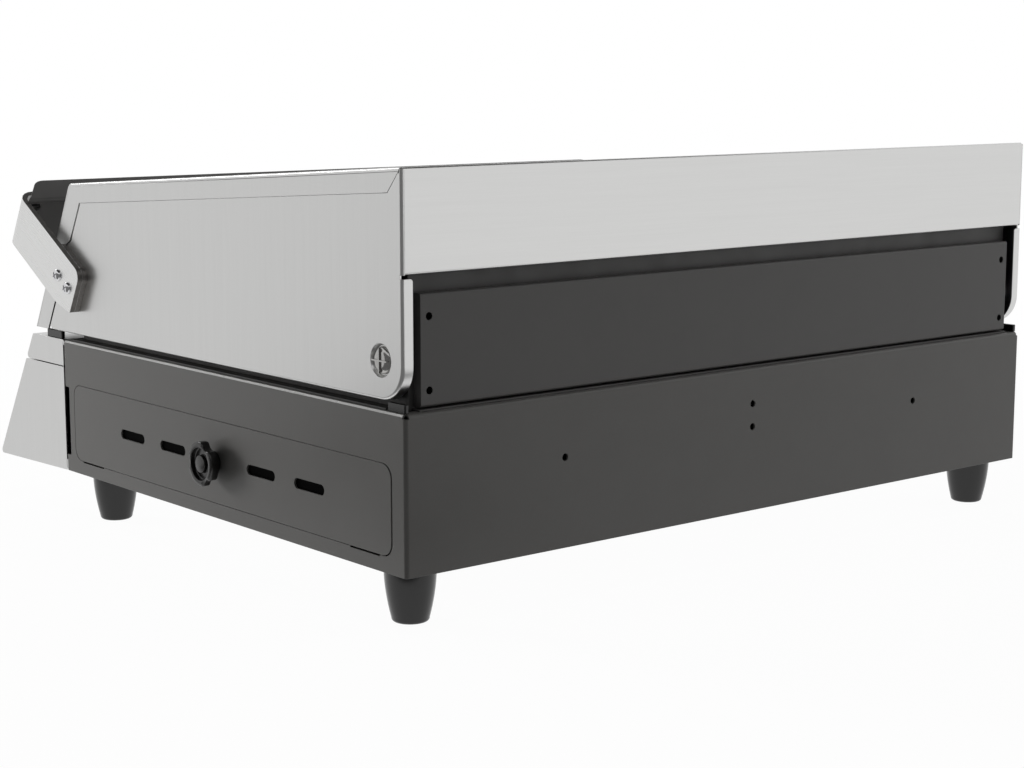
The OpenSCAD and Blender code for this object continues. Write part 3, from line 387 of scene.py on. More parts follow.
# Walls between level rounded rectangles of (x0, y0, x1, y1, corner radius, z)
def walled(name, loops, capped):
    work = bmesh.new()
    rings = []
    for x0, y0, x1, y1, r, z in loops:
        corners = ((x1 - r, y0 + r, -90), (x1 - r, y1 - r, 0), (x0 + r, y1 - r, 90), (x0 + r, y0 + r, 180))
        ring = []
        for x, y, start in corners:
            for k in range(arcSteps + 1):
                turn = math.radians(start + 90 * k / arcSteps)
                ring.append(work.verts.new(place(x + r * math.cos(turn), y + r * math.sin(turn), z)))
        rings.append(ring)
    ringWalls(work, rings, capped)
    return closedMesh(name, work)


# A flat stroke of ink with round ends
def stroke(start, end, width, low, high):
    work = bmesh.new()
    along = (Vector(end) - Vector(start)).normalized()
    aside = Vector((-along.y, along.x))
    outline = []
    for centre, side in ((Vector(end), 1), (Vector(start), -1)):
        for k in range(arcSteps + 1):
            turn = math.radians(-90 + 180 * k / arcSteps)
            outline.append(centre + (along * math.cos(turn) + aside * math.sin(turn)) * side * width / 2)
    rings = [[work.verts.new((q.x * mm, q.y * mm, z * mm)) for q in outline] for z in (low, high)]
    ringWalls(work, rings, True)
    return closedMesh("stroke", work)


def joined(name, meshes):
    work = bmesh.new()
    for mesh in meshes:
        work.from_mesh(mesh)
    return cleanMesh(name, work)


# Rounds each corner of an open outline of (x, y) by its radius
def rounded(points, radii, steps):
    out = []
    for i, (point, radius) in enumerate(zip(points, radii)):
        if radius == 0 or i in (0, len(points) - 1):
            out.append(tuple(point))
            continue
        before = (Vector(points[i - 1]) - Vector(point)).normalized()
        after = (Vector(points[i + 1]) - Vector(point)).normalized()
        half = before.angle(after) / 2
        centre = Vector(point) + (before + after).normalized() * radius / math.sin(half)
        start = Vector(point) + before * radius / math.tan(half) - centre
        end = Vector(point) + after * radius / math.tan(half) - centre
        sweep = start.angle(end)
        for k in range(steps + 1):
            t = k / steps
            arm = (start * math.sin((1 - t) * sweep) + end * math.sin(t * sweep)) / math.sin(sweep)
            out.append(tuple(centre + arm))
    return out


def cutAway(mesh, cutters):
    holder = holderOf("cutting", mesh)
    tools = [holderOf("tool", cutter) for cutter in cutters]
    for tool in tools:
        boolean = holder.modifiers.new("cut", "BOOLEAN")
        boolean.operation = "DIFFERENCE"
        boolean.solver = "EXACT"
        boolean.object = tool
    result = evaluated(holder)
    for each in tools + [holder]:
        drop(each)
    return result


def block(low, high):
    work = bmesh.new()
    bmesh.ops.create_cube(work, size=1)
    for vert in work.verts:
        for i in range(3):
            vert.co[i] = (low[i] if vert.co[i] < 0 else high[i]) * mm
    return cleanMesh("block", work)


# A copy of a CAD node with its sheared or cast edges broken, and its bends shaded as one curve.
# Angles are in degrees; the merge distance and the edge's width are in millimetres.
softening = {"merge": 0.01, "flatUnder": 0.4, "edgeOver": 30, "segments": 2, "smoothUnder": 50}


def softened(nodeName, width):
    work = bmesh.new()
    work.from_mesh(nodes[nodeName].data)
    bmesh.ops.remove_doubles(work, verts=work.verts, dist=softening["merge"] * mm)
    bmesh.ops.dissolve_limit(work, angle_limit=math.radians(softening["flatUnder"]), verts=work.verts,
        edges=work.edges)
    points = [tuple(vert.co) for vert in work.verts]
    work.verts.index_update()
    faces = [[vert.index for vert in face.verts] for face in work.faces]
    work.free()
    mesh = bpy.data.meshes.new(nodeName)
    mesh.from_pydata(points, [], faces)
    mesh.update()
    holder = holderOf("softening", mesh)
    bevel = holder.modifiers.new("edge", "BEVEL")
    bevel.width = width * mm
    bevel.segments = softening["segments"]
    bevel.limit_method = "ANGLE"
    bevel.angle_limit = math.radians(softening["edgeOver"])
    bevel.use_clamp_overlap = False
    result = evaluated(holder)
    drop(holder)
    surface = BVHTree.FromPolygons(points, faces)
    for vert in result.vertices:  # a bevel can overshoot at a sharp corner: it is brought back
        nearest, normal, index, away = surface.find_nearest(vert.co)
        if away > width * mm or (vert.co - nearest).dot(normal) > tiny:
            vert.co = nearest
    holder = holderOf("softening", result)
    smoothShade(result, softening["smoothUnder"])
    weights = holder.modifiers.new("weights", "WEIGHTED_NORMAL")
    weights.keep_sharp = True
    result = evaluated(holder)
    drop(holder)
    return result


# Geometry Nodes helpers
def newTree(name, sizes):
    tree = bpy.data.node_groups.new(name, "GeometryNodeTree")
    tree.interface.new_socket("Places", in_out="INPUT", socket_type="NodeSocketGeometry")
    keys = {}
    for key, value in sizes.items():
        kind = "NodeSocketInt" if isinstance(value, int) else "NodeSocketFloat"
        keys[key] = tree.interface.new_socket(key, in_out="INPUT", socket_type=kind).identifier
    tree.interface.new_socket("Geometry", in_out="OUTPUT", socket_type="NodeSocketGeometry")
    return tree, addNode(tree, "NodeGroupInput").outputs, keys


def grow(tree, keys, sizes, geometry, material, start):
    whole = addNode(tree, "GeometryNodeRealizeInstances", inputs={"Geometry": geometry})
    coat = addNode(tree, "GeometryNodeSetMaterial", inputs={
        "Geometry": whole.outputs[0], "Material": material})
    addNode(tree, "NodeGroupOutput", inputs={0: coat.outputs[0]})
    holder = holderOf("growing", start)
    modifier = holder.modifiers.new("grow", "NODES")
    modifier.node_group = tree
    for key, value in sizes.items():
        modifier[keys[key]] = value
    mesh = evaluated(holder)
    holder.modifiers.remove(modifier)
    drop(holder)
    return mesh


# Loose points that carry the way each copy faces, and how far it is turned about that
def pointsFacing(places, facings, turns):
    mesh = bpy.data.meshes.new("places")
    mesh.from_pydata([tuple(p) for p in places], [], [])
    facing = mesh.attributes.new("facing", "FLOAT_VECTOR", "POINT")
    for i, way in enumerate(facings):
        facing.data[i].vector = way
    turned = mesh.attributes.new("turn", "FLOAT", "POINT")
    for i, turn in enumerate(turns or [0.0] * len(places)):
        turned.data[i].value = turn
    return mesh


# Sets a copy of a template on every point, its Z along the point's facing and turned about it
def copiesOnPoints(name, template, places, facings, material, turn=0.0, turns=None):
    sizes = {"Turn": turn}
    tree, given, keys = newTree(name, sizes)
    source = holderOf("template", template)
    info = addNode(tree, "GeometryNodeObjectInfo", {"transform_space": "ORIGINAL"}, {"Object": source})
    facing = addNode(tree, "GeometryNodeInputNamedAttribute", {"data_type": "FLOAT_VECTOR"}, {
        "Name": "facing"})
    aligned = addNode(tree, "FunctionNodeAlignRotationToVector", {"axis": "Z"}, {
        "Vector": facing.outputs[0]})
    own = addNode(tree, "GeometryNodeInputNamedAttribute", {"data_type": "FLOAT"}, {"Name": "turn"})
    angle = addNode(tree, "ShaderNodeMath", {"operation": "ADD"}, {0: own.outputs[0], 1: given["Turn"]})
    spun = addNode(tree, "FunctionNodeAxisAngleToRotation", inputs={
        "Axis": (0, 0, 1), "Angle": angle.outputs[0]})
    rotation = addNode(tree, "FunctionNodeRotateRotation", {"rotation_space": "LOCAL"}, {
        0: aligned.outputs[0], 1: spun.outputs[0]})
    copies = addNode(tree, "GeometryNodeInstanceOnPoints", inputs={
        "Points": given["Places"], "Instance": info.outputs["Geometry"], "Rotation": rotation.outputs[0]})
    mesh = grow(tree, keys, sizes, copies.outputs[0], material, pointsFacing(places, facings, turns))
    drop(source)
    return mesh


# Sheet-metal and bar pieces with broken edges: each piece's name and the width of its broken edge
softSheets = {
    "lid_cover": ("lidCover", 0.14), "lid_side_left": ("lidSideLeft", 0.14),
    "lid_side_right": ("lidSideRight", 0.14), "handle_bar": ("handleBar", 0.25),
    "handle_spacers": ("handleSpacers", 0.2), "handle_guard": ("handleGuard", 0.3),
    "control_panel": ("controlPanel", 0.15), "front_rail": ("frontRail", 0.15),
    "rear_cover": ("rearCover", 0.2), "base_shell": ("baseShell", 0.2), "tray_face": ("trayFace", 0.2),
    "firebox": ("fireboxShell", 0.2), "lid_rests": ("lidRests", 0.5)}
bodyOf = {name: body for body, names in frame["record"]["behaviour"]["bodies"].items() for name in names}
softPieces = {}
for nodeName, (pieceName, width) in softSheets.items():
    softPieces[nodeName] = finishPiece(pieceName, softened(nodeName, width),
        nodes[nodeName].data.materials[0], bodyOf[nodeName], [nodeName])
print("softened", len(softPieces), "pieces")

# The bar's and spacers' sheared edges, which take the darker edge colour as painted shade: their long edges,
# the arms' rear ends and the spacers' ends
handle = {"angle": 29.7, "originY": -494.53, "originZ": 169.2, "armOut": 305.0, "armsBehind": -440.0,
    "longEdge": 0.6, "rearEnd": 0.4, "spacerSide": 0.6}
tilt = math.radians(handle["angle"])
armUp = Vector((0, math.sin(tilt), math.cos(tilt)))
armBack = Vector((0, math.cos(tilt), -math.sin(tilt)))
armsFrom = place(0, handle["armsBehind"], 0).y
for nodeName in ("handle_bar", "handle_spacers"):
    sheet = softPieces[nodeName].data
    sheet.materials.append(shearedEdgeAndShade)
    for face in sheet.polygons:
        onEnd = face.normal.dot(armBack) > handle["rearEnd"] and face.center.y > armsFrom
        onSpacer = nodeName == "handle_spacers" and abs(face.normal.x) < handle["spacerSide"]
        if abs(face.normal.dot(armUp)) > handle["longEdge"] or onEnd or onSpacer:
            face.material_index = 1

# The painted highlight: a pale line along the fold of the base's two top edges, on the faces that tilt up
# and out
fold = {"depth": 3, "upFrom": 0.4, "upTo": 0.8, "outFrom": 0.4}
shell = softPieces["base_shell"].data
shell.materials.append(paintedHighlightPaint)
for face in shell.polygons:
    nearTop = face.center.z > baseHigh.z - fold["depth"] * mm
    if nearTop and fold["upFrom"] < face.normal.z < fold["upTo"] and abs(face.normal.x) > fold["outFrom"]:
        face.material_index = 1


# Screws: a domed head with a cross cut, and a ridged shank. The head's form is in shares of its radius
# and height, and the thread's in shares of the shank's radius and the pitch.
screwForm = {"crown": 0.62, "brim": 0.4, "crownRound": 0.5, "brimRound": 0.35, "root": 0.9, "rootAt": 0.25,
    "crestAt": 0.65, "tip": [(0.85, 0.4), (0.6, 0), (0, 0)], "roundSteps": 5, "steps": 40, "above": 1,
    "smoothUnder": 40}


def crossScrew(values):
    r, h, shank, length, pitch = [values[key] for key in (
        "headRadius", "headHeight", "shankRadius", "length", "pitch")]
    profile = rounded([(0, h), (r * screwForm["crown"], h), (r, h * screwForm["brim"]), (r, 0), (shank, 0)],
        [0, r * screwForm["crownRound"], r * screwForm["brimRound"], 0, 0], screwForm["roundSteps"])
    for k in range(int(length / pitch)):
        z = -pitch * k
        profile += [(shank * screwForm["root"], z - pitch * screwForm["rootAt"]),
            (shank, z - pitch * screwForm["crestAt"])]
    profile += [(shank * share, -length + up) for share, up in screwForm["tip"]]
    wide, reach, deep = values["slotWidth"] / 2, values["slotLength"] / 2, h - values["slotDepth"]
    mesh = cutAway(lathe("screw", profile, screwForm["steps"]), [
        block((-x, -y, deep), (x, y, h + screwForm["above"])) for x, y in ((reach, wide), (wide, reach))])
    smoothShade(mesh, screwForm["smoothUnder"])
    return mesh


def finishScrews(name, values, places, facings, material, body, nodeName):
    copies = copiesOnPoints(name + "Copies", crossScrew(values), places, facings, material, values["turn"])
    finishPiece(name, copies, material, body, [nodeName])


def onArm(x, y, z):  # the handle's own frame: y runs back down the arm
    return place(x, handle["originY"] + y * math.cos(tilt) + z * math.sin(tilt),
        handle["originZ"] - y * math.sin(tilt) + z * math.cos(tilt))


handleScrew = {"holes": [(73.5, 20.0), (90.5, 20.0)], "headRadius": 4.6, "headHeight": 2.8,
    "shankRadius": 2.5, "length": 15.4, "pitch": 0.8, "slotWidth": 1.1, "slotDepth": 1.5, "slotLength": 5.2,
    "turn": 0.5}
finishScrews("handleScrews", handleScrew,
    [onArm(side * handle["armOut"], y, z) for side in (-1, 1) for y, z in handleScrew["holes"]],
    [(side, 0, 0) for side in (-1, -1, 1, 1)], polishedChrome, "lid", "handle_screws")

hingeBolt = {"x": 294.8, "y": -24.0, "z": 130.0, "headRadius": 8.6, "headHeight": 2.9, "shankRadius": 4.0,
    "length": 16.5, "pitch": 1.0, "slotWidth": 0.9, "slotDepth": 0.8, "slotLength": 15.2, "turn": 0.0}
finishScrews("hingeBolts", hingeBolt,
    [place(side * hingeBolt["x"], hingeBolt["y"], hingeBolt["z"]) for side in (-1, 1)],
    [(-1, 0, 0), (1, 0, 0)], nickelPlate, "grill", "hinge_bolts")

inletScrew = {"x": -299.5, "y": -62.0, "z": 46.0, "reach": 18.5, "headRadius": 3.0, "headHeight": 1.8,
    "shankRadius": 1.5, "length": 6.4, "pitch": 0.6, "slotWidth": 0.8, "slotDepth": 1.0, "slotLength": 3.4,
    "turn": 0.7}
finishScrews("inletScrews", inletScrew, [place(inletScrew["x"], inletScrew["y"] + side * inletScrew["reach"],
    inletScrew["z"]) for side in (-1, 1)], [(-1, 0, 0), (-1, 0, 0)], zincPlate, "grill",
    "inlet_screws")
print("screws made")

# Feet; the underside is given as (radius, height above the table)
foot = {"topDiameter": 33.0, "endDiameter": 24.0, "height": 35.0, "bulge": 1.8, "round": 2.5, "topEdge": 0.8,
    "steps": 20, "turnSteps": 64, "smoothUnder": 35, "side": 274.0, "rear": -27.0, "front": -399.0,
    "bore": 2.6, "under": [(7.5, 0), (7.0, 0.6), (6.5, 0.6), (6.0, 1.2), (6.0, 8)]}
topRadius, endRadius, topEdge = foot["topDiameter"] / 2, foot["endDiameter"] / 2, foot["topEdge"]
footProfile = [(foot["bore"], 0.0), (topRadius - topEdge, 0.0), (topRadius, -topEdge)]
swell = foot["height"] - foot["round"]
for k in range(1, foot["steps"] + 1):
    t = k / foot["steps"]
    footProfile.append((topRadius - (foot["topDiameter"] - foot["endDiameter"]) / 2 * t ** foot["bulge"],
        -topEdge - (swell - topEdge) * t))
for k in range(1, arcSteps + 1):
    turn = math.radians(90 * k / arcSteps)
    footProfile.append((endRadius - foot["round"] * (1 - math.cos(turn)),
        -swell - foot["round"] * math.sin(turn)))
footProfile += [(radius, -foot["height"] + up) for radius, up in foot["under"]]
footProfile += [(foot["bore"], footProfile[-1][1]), (foot["bore"], 0.0)]
footMesh = lathe("foot", footProfile, foot["turnSteps"])
smoothShade(footMesh, foot["smoothUnder"])
footPlaces = [place(side * foot["side"], y, 0) for side in (-1, 1) for y in (foot["rear"], foot["front"])]
finishPiece("rubberFeet", copiesOnPoints("footCopies", footMesh, footPlaces, [(0, 0, 1)] * 4, mouldedRubber),
    mouldedRubber, "grill", ["feet"])
print("feet made")

# Star knob: three lobes with a cup and a boss in its face. Each edge or foot is a list of (away from
# the wall that it rounds, up from the low side or down from the top).
star = {"steps": 288, "outer": 15.25, "valleyRadius": 6.893, "valleyOut": 19.215, "valleys": (30, 150, 270),
    "ease": 6, "low": 6.1, "high": 12.5, "bossLow": 7.6, "bossHigh": 9.1, "chamfer": 0.3, "gap": 0.3,
    "cup": 11.28, "cupBoss": 5.95, "cupFloor": 9.2, "at": (297.0, -215.8, 39.0),
    "lowEdge": [(1.0, 0), (0.3, 0.3), (0, 1.0)], "rimEdge": [(0, 1.0), (0.2, 0.4), (0.6, 0.08), (0.75, 0)],
    "cupEdge": [(0.25, 0), (0.07, 0.07), (0, 0.25)], "cupFoot": [(0.2, 0.4), (0.6, 0)],
    "bossFoot": [(0.5, 0), (0.1, 0.4)], "bossEdge": [(0, 0.7), (0.15, 0.4), (0.5, 0.3)],
    "smoothUnder": 38}
rim = scalloped(star["outer"], star["valleyRadius"], star["valleyOut"], star["valleys"], star["steps"],
    star["ease"])
top, cup, boss, gap = star["high"], star["cup"], star["cupBoss"], star["gap"]
starProfile = [(0, gap), (star["bossLow"] - star["chamfer"], gap), (star["bossLow"], gap + star["chamfer"]),
    (star["bossHigh"], star["low"])]
starProfile += [(inset(rim, by), star["low"] + up) for by, up in star["lowEdge"]]
starProfile += [(inset(rim, by), top - down) for by, down in star["rimEdge"]]
starProfile += [(cup + by, top - down) for by, down in star["cupEdge"]]
starProfile += [(cup - by, star["cupFloor"] + up) for by, up in star["cupFoot"]]
starProfile += [(boss + by, star["cupFloor"] + up) for by, up in star["bossFoot"]]
starProfile += [(boss - by, top - down) for by, down in star["bossEdge"]]
starProfile.append((0, starProfile[-1][1]))
starMesh = lathe("star", starProfile, star["steps"])
smoothShade(starMesh, star["smoothUnder"])
starAt = place(*star["at"])
starMesh.transform(Matrix(((0, 0, 1, starAt.x), (0, 1, 0, starAt.y), (-1, 0, 0, starAt.z), (0, 0, 0, 1))))
finishPiece("starKnob", starMesh, mouldedNylon, "star_knob", ["star_knob"])

# Control knobs on the sloping panel, with a white pointer line. The skirt is given as (in from its edge,
# height), the grip's foot as (in from the grip, height) and its top edge as (in, down from the top).
dial = {"steps": 360, "skirt": 19.0, "grip": 15.0, "fluteRadius": 1.9, "fluteOut": 16.2, "flutes": 18,
    "ease": 2, "high": 20.0, "pointer": (4.0, 12.6, 1.3), "pointerDeep": 0.3, "side": 150.0,
    "at": (-517.556, 41.168), "slope": (0.527773, 0.849385),
    "skirtLine": [(0.3, 1.5), (0, 1.8), (0, 3.7), (0.3, 4.2), (1.5, 5.4), (3.2, 6.0)],
    "gripFoot": [(0, 6.3), (0, 7.2)], "flutesFrom": [(0.05, 8.2), (0, 9.0)],
    "topEdge": [(0, 1.8), (0.3, 0.9), (0.9, 0.35), (1.8, 0.1)], "smoothUnder": 40}
upSlope, outSlope = dial["slope"]


def onPanel(x):
    at = place(x, *dial["at"])
    return Matrix(((1, 0, 0, at.x), (0, upSlope, -outSlope, at.y), (0, outSlope, upSlope, at.z),
        (0, 0, 0, 1)))


grip = scalloped(dial["grip"], dial["fluteRadius"], dial["fluteOut"],
    [90 + k * 360 / dial["flutes"] for k in range(1, dial["flutes"])], dial["steps"], dial["ease"])
knobProfile = [(0, dial["skirtLine"][0][1])]
for shape, key in ((dial["skirt"], "skirtLine"), (dial["grip"], "gripFoot"), (grip, "flutesFrom")):
    knobProfile += [(inset(shape, by), height) for by, height in dial[key]]
knobProfile += [(inset(grip, by), dial["high"] - down) for by, down in dial["topEdge"]]
knobProfile.append((0, knobProfile[-1][1]))
for side, body, knobName, pointerName in (
        (1, "heat_knob", "heatDial", "heatPointer"), (-1, "timer_knob", "timerDial", "timerPointer")):
    panelFrame = onPanel(side * dial["side"])
    knobMesh = lathe("dial", knobProfile, dial["steps"])
    smoothShade(knobMesh, dial["smoothUnder"])
    knobMesh.transform(panelFrame)
    finishPiece(knobName, knobMesh, mouldedNylon, body, [body])
    first, last, wide = dial["pointer"]
    pointer = stroke((0, first), (0, last), wide, dial["high"] - dial["pointerDeep"], dial["high"])
    pointer.transform(panelFrame)
    finishPiece(pointerName, pointer, scaleInk, body)

# Scales printed on the dial rings: ticks, and plain numbers beside them. Each has its numbers, the
# degrees between two of them, and its side of the panel.
scales = {"inner": 20.3, "outer": 22.0, "tickWidth": 0.45, "numbersAt": 25.1, "size": 3.6, "ink": 0.04,
    "sunk": 0.1, "ring": 1.2,
    "heat": (["0", "1", "2", "3", "4", "5", "6"], 45.0, 1),
    "timer": (["0", "10", "20", "30", "40", "50", "60"], 50.0, -1)}


def onRing(radius, degrees, z):  # clockwise from the top of a ring
    turn = math.radians(90 - degrees)
    return Vector((radius * math.cos(turn) * mm, radius * math.sin(turn) * mm, z * mm))


for name in ("heat", "timer"):
    words, step, side = scales[name]
    ringFrame = onPanel(side * dial["side"])
    middle, half = (scales["inner"] + scales["outer"]) / 2, (scales["outer"] - scales["inner"]) / 2
    tickAngles = [k * step / 2 for k in range(2 * len(words) - 1)]  # one more tick between two numbers
    tick = stroke((-half, 0), (half, 0), scales["tickWidth"], scales["ring"] - scales["sunk"],
        scales["ring"] + scales["ink"])
    tickPlaces = [ringFrame @ onRing(middle, angle, 0) for angle in tickAngles]
    numbers = [copiesOnPoints(name + "Ticks", tick, tickPlaces, [(0, -outSlope, upSlope)] * len(tickAngles),
        scaleInk, turns=[math.radians(90 - angle) for angle in tickAngles])]
    for k, word in enumerate(words):
        curve = bpy.data.curves.new("number", "FONT")
        curve.body = word
        curve.size = scales["size"] * mm
        curve.extrude = scales["ink"] * mm
        curve.align_x, curve.align_y = "CENTER", "CENTER"
        holder = holderOf("number", curve)
        mesh = evaluated(holder)
        drop(holder)
        mesh.transform(ringFrame @ Matrix.Translation(onRing(scales["numbersAt"], k * step, scales["ring"])))
        numbers.append(mesh)
    finishPiece(name + "Scale", joined(name + "Scale", numbers), scaleInk, "grill")
print("knobs and scales made")

# Pilot lamp: a domed red lens in a chromed bezel, each turned from (radius, height above the panel)
pilot = {"steps": 64, "smoothUnder": 40,
    "bezel": [(4.45, -0.2), (6.0, -0.2), (6.0, 0.9), (5.6, 1.5), (5.0, 1.7), (4.6, 1.5), (4.45, 1.1),
    (4.45, -0.2)],
    "lens": [(0, -14), (3.8, -14), (4.0, -13.8), (4.0, 0.2), (4.35, 0.6), (4.3, 1.6), (3.7, 2.7), (2.6, 3.5),
    (1.3, 3.9), (0, 4.0)]}
for key, name, finish, slotName, replaced in (("bezel", "lampBezel", polishedChrome, "chrome", []),
        ("lens", "lampLens", redLens, "lamp_red", ["pilot_lamp"])):
    mesh = lathe(key, pilot[key], pilot["steps"])
    smoothShade(mesh, pilot["smoothUnder"])
    mesh.transform(onPanel(0.0))
    finishPiece(name, mesh, finish, "grill", replaced)

# Grease tray, with soft corners and a bead round its rim. Its section runs up the outside and down the
# inside: (in from the wall, up from the underside or down from the rim).
tray = {"x": (-224.5, 295.4), "y": (-401.55, -30.05), "low": 11.85, "high": 53.75, "corner": 7.0,
    "outside": [(2.5, 0), (0.7, 0.7), (0, 2.5)],
    "bead": [(0, 0.5), (0.3, 0), (1.3, 0), (1.6, 0.6), (1.6, 2), (1.0, 2.6)],
    "inside": [(1.0, 3.2), (1.7, 1.7), (3.2, 1.0)], "smoothUnder": 40, "wallUnder": 0.3}
x0, x1, y0, y1 = *tray["x"], *tray["y"]
traySection = [(by, tray["low"] + up) for by, up in tray["outside"]]
traySection += [(by, tray["high"] - down) for by, down in tray["bead"]]
traySection += [(by, tray["low"] + up) for by, up in tray["inside"]]
trayMesh = walled("tray", [(x0 + by, y0 + by, x1 - by, y1 - by, tray["corner"] - by, z)
    for by, z in traySection], True)
smoothShade(trayMesh, tray["smoothUnder"])
finishPiece("greaseTray", trayMesh, trayEnamel, "tray",
    ["grease_tray", "tray_sides", "tray_ends"])
# Outward-facing walls take the ground coat, drawn near black as painted shade behind the vent slots
trayMesh.materials.append(groundCoatAndShade)
trayMiddle = place((x0 + x1) / 2, (y0 + y1) / 2, 0)
for face in trayMesh.polygons:
    outward = face.center - trayMiddle
    if face.normal.z < tray["wallUnder"] and face.normal.x * outward.x + face.normal.y * outward.y > 0:
        face.material_index = 1

# Cast grates: a rim and a middle bar, with a row of round-topped bars grown across by Geometry Nodes.
# The rim's sides are given as (in from the side, up from the underside) or (in, down from the top).
grate = {"near": 0.75, "far": 283.8, "front": -415.3, "rear": -13.2, "low": 109.0, "height": 11.0,
    "rim": 9.0, "bars": 19, "pitch": 13.5025, "barWidth": 5.0, "draft": 0.5, "round": 1.8, "roundSteps": 5,
    "corner": 6.0, "leastCorner": 1.0, "overlap": 1, "foot": [(0.6, 0), (0, 0.8)],
    "top": [(0, 1.8), (0.5, 0.6), (1.8, 0)], "smoothUnder": 42}
grateMiddle = (grate["front"] + grate["rear"]) / 2
zLow, zHigh = grate["low"], grate["low"] + grate["height"]


# A bar's rounded section carried from start to end, along Y at X = 0 or across the grate's middle
def grateBar(start, end, runsAlong):
    r = grate["round"]
    half, bottom = grate["barWidth"] / 2, grate["barWidth"] / 2 - grate["draft"]
    turns = [math.radians(90 * k / grate["roundSteps"]) for k in range(grate["roundSteps"] + 1)]
    quarter = [(r * math.cos(turn), r * math.sin(turn)) for turn in turns]
    outline = [(-bottom, zLow), (bottom, zLow)] + [(half - r + x, zHigh - r + z) for x, z in quarter]
    outline += [(r - half - x, zHigh - r + z) for x, z in reversed(quarter)]
    work = bmesh.new()
    ringWalls(work, [[work.verts.new(place(q, at, z) if runsAlong else place(at, q + grateMiddle, z))
        for q, z in outline] for at in (start, end)], True)
    return closedMesh("bar", work)


barIn = grate["rim"] - grate["overlap"]
rimSection = [(by, zLow + up) for by, up in grate["foot"]]
rimSection += [(by, zHigh - down) for by, down in grate["top"]]
rimSection += [(grate["rim"] - by, zHigh - down) for by, down in reversed(grate["top"])]
rimSection += [(grate["rim"] - grate["foot"][0][0], zLow), rimSection[0]]
for side, nodeName, pieceName in ((-1, "grate_left", "grateLeft"), (1, "grate_right", "grateRight")):
    x0, x1 = sorted((side * grate["near"], side * grate["far"]))
    loops = [(x0 + by, grate["front"] + by, x1 - by, grate["rear"] - by,
        max(grate["corner"] - by, grate["leastCorner"]), z) for by, z in rimSection]
    rimMesh = joined("rim", [walled("rim", loops, False), grateBar(x0 + barIn, x1 - barIn, False)])
    firstBar = grate["near"] + grate["rim"] - grate["barWidth"] / 2 + grate["pitch"]
    sizes = {"Bars": grate["bars"], "First bar": side * firstBar * mm, "Pitch": side * grate["pitch"] * mm}
    tree, given, keys = newTree(nodeName + "Bars", sizes)
    template = holderOf("template", grateBar(grate["front"] + barIn, grate["rear"] - barIn, True))
    info = addNode(tree, "GeometryNodeObjectInfo", {"transform_space": "ORIGINAL"}, {"Object": template})
    first = addNode(tree, "ShaderNodeCombineXYZ", inputs={0: given["First bar"]})
    offset = addNode(tree, "ShaderNodeCombineXYZ", inputs={0: given["Pitch"]})
    line = addNode(tree, "GeometryNodeMeshLine", {"mode": "OFFSET"}, {
        "Count": given["Bars"], "Start Location": first.outputs[0], "Offset": offset.outputs[0]})
    copies = addNode(tree, "GeometryNodeInstanceOnPoints", inputs={
        "Points": line.outputs[0], "Instance": info.outputs["Geometry"]})
    both = addNode(tree, "GeometryNodeJoinGeometry", inputs={"Geometry": copies.outputs[0]})
    tree.links.new(given["Places"], both.inputs[0])
    mesh = grow(tree, keys, sizes, both.outputs[0], castIron, rimMesh)
    drop(template)
    smoothShade(mesh, grate["smoothUnder"])
    finishPiece(pieceName, mesh, castIron, "grill", [nodeName])
print("tray and grates made")

# Heating elements: one bent tube each, swept along its path by Geometry Nodes
element = {"middle": 143.25, "pitch": 40.0, "runs": 6, "front": -378.0, "rear": -50.5, "tail": -444.0,
    "z": 86.0, "radius": 3.5, "sides": 20, "bendSteps": 12, "smoothUnder": 50}
for side, nodeName, pieceName in ((-1, "element_left", "elementLeft"), (1, "element_right", "elementRight")):
    path = []
    for i in range(element["runs"]):
        x = element["middle"] + (i - (element["runs"] - 1) / 2) * element["pitch"]
        near, far, bowed = (element["front"], element["rear"], 1) if i % 2 == 0 else (
            element["rear"], element["front"], -1)
        start = element["tail"] if i == 0 else near
        end = element["tail"] if i == element["runs"] - 1 else far
        path += [(x, start), (x, end)]
        if i < element["runs"] - 1:
            for k in range(1, element["bendSteps"]):
                turn = math.radians(180 - 180 * k / element["bendSteps"])
                path.append((x + element["pitch"] / 2 * (1 + math.cos(turn)),
                    end + element["pitch"] / 2 * math.sin(turn) * bowed))
    spine = bpy.data.meshes.new("spine")
    spine.from_pydata([tuple(place(side * x, y, element["z"])) for x, y in path],
        [(k, k + 1) for k in range(len(path) - 1)], [])
    sizes = {"Tube radius": element["radius"] * mm, "Sides": element["sides"]}
    tree, given, keys = newTree(nodeName + "Tube", sizes)
    curve = addNode(tree, "GeometryNodeMeshToCurve", inputs={"Mesh": given["Places"]})
    ring = addNode(tree, "GeometryNodeCurvePrimitiveCircle", inputs={
        "Resolution": given["Sides"], "Radius": given["Tube radius"]})
    tube = addNode(tree, "GeometryNodeCurveToMesh", inputs={
        "Curve": curve.outputs[0], "Profile Curve": ring.outputs[0], "Fill Caps": True})
    mesh = grow(tree, keys, sizes, tube.outputs[0], burntSheath, spine)
    smoothShade(mesh, element["smoothUnder"])
    finishPiece(pieceName, mesh, burntSheath, "grill", [nodeName])
print("elements made")

# Camera, fitted to the photograph
view = {"azimuth": 39.6747, "elevation": 8.9992, "lens": 70.66, "sensor": 36, "clip": (0.01, 100),
    "at": (0.99476, 1.21271, 0.33909)}
camera = bpy.data.objects.new("camera", bpy.data.cameras.new("camera"))
scene.collection.objects.link(camera)
scene.camera = camera
side, up = math.radians(view["azimuth"]), math.radians(view["elevation"])
look = Vector((-math.sin(side) * math.cos(up), -math.cos(side) * math.cos(up), -math.sin(up)))
camera.location = view["at"]
camera.rotation_euler = look.to_track_quat("-Z", "Y").to_euler()
camera.data.lens = view["lens"]
camera.data.sensor_width = view["sensor"]
camera.data.clip_start, camera.data.clip_end = view["clip"]

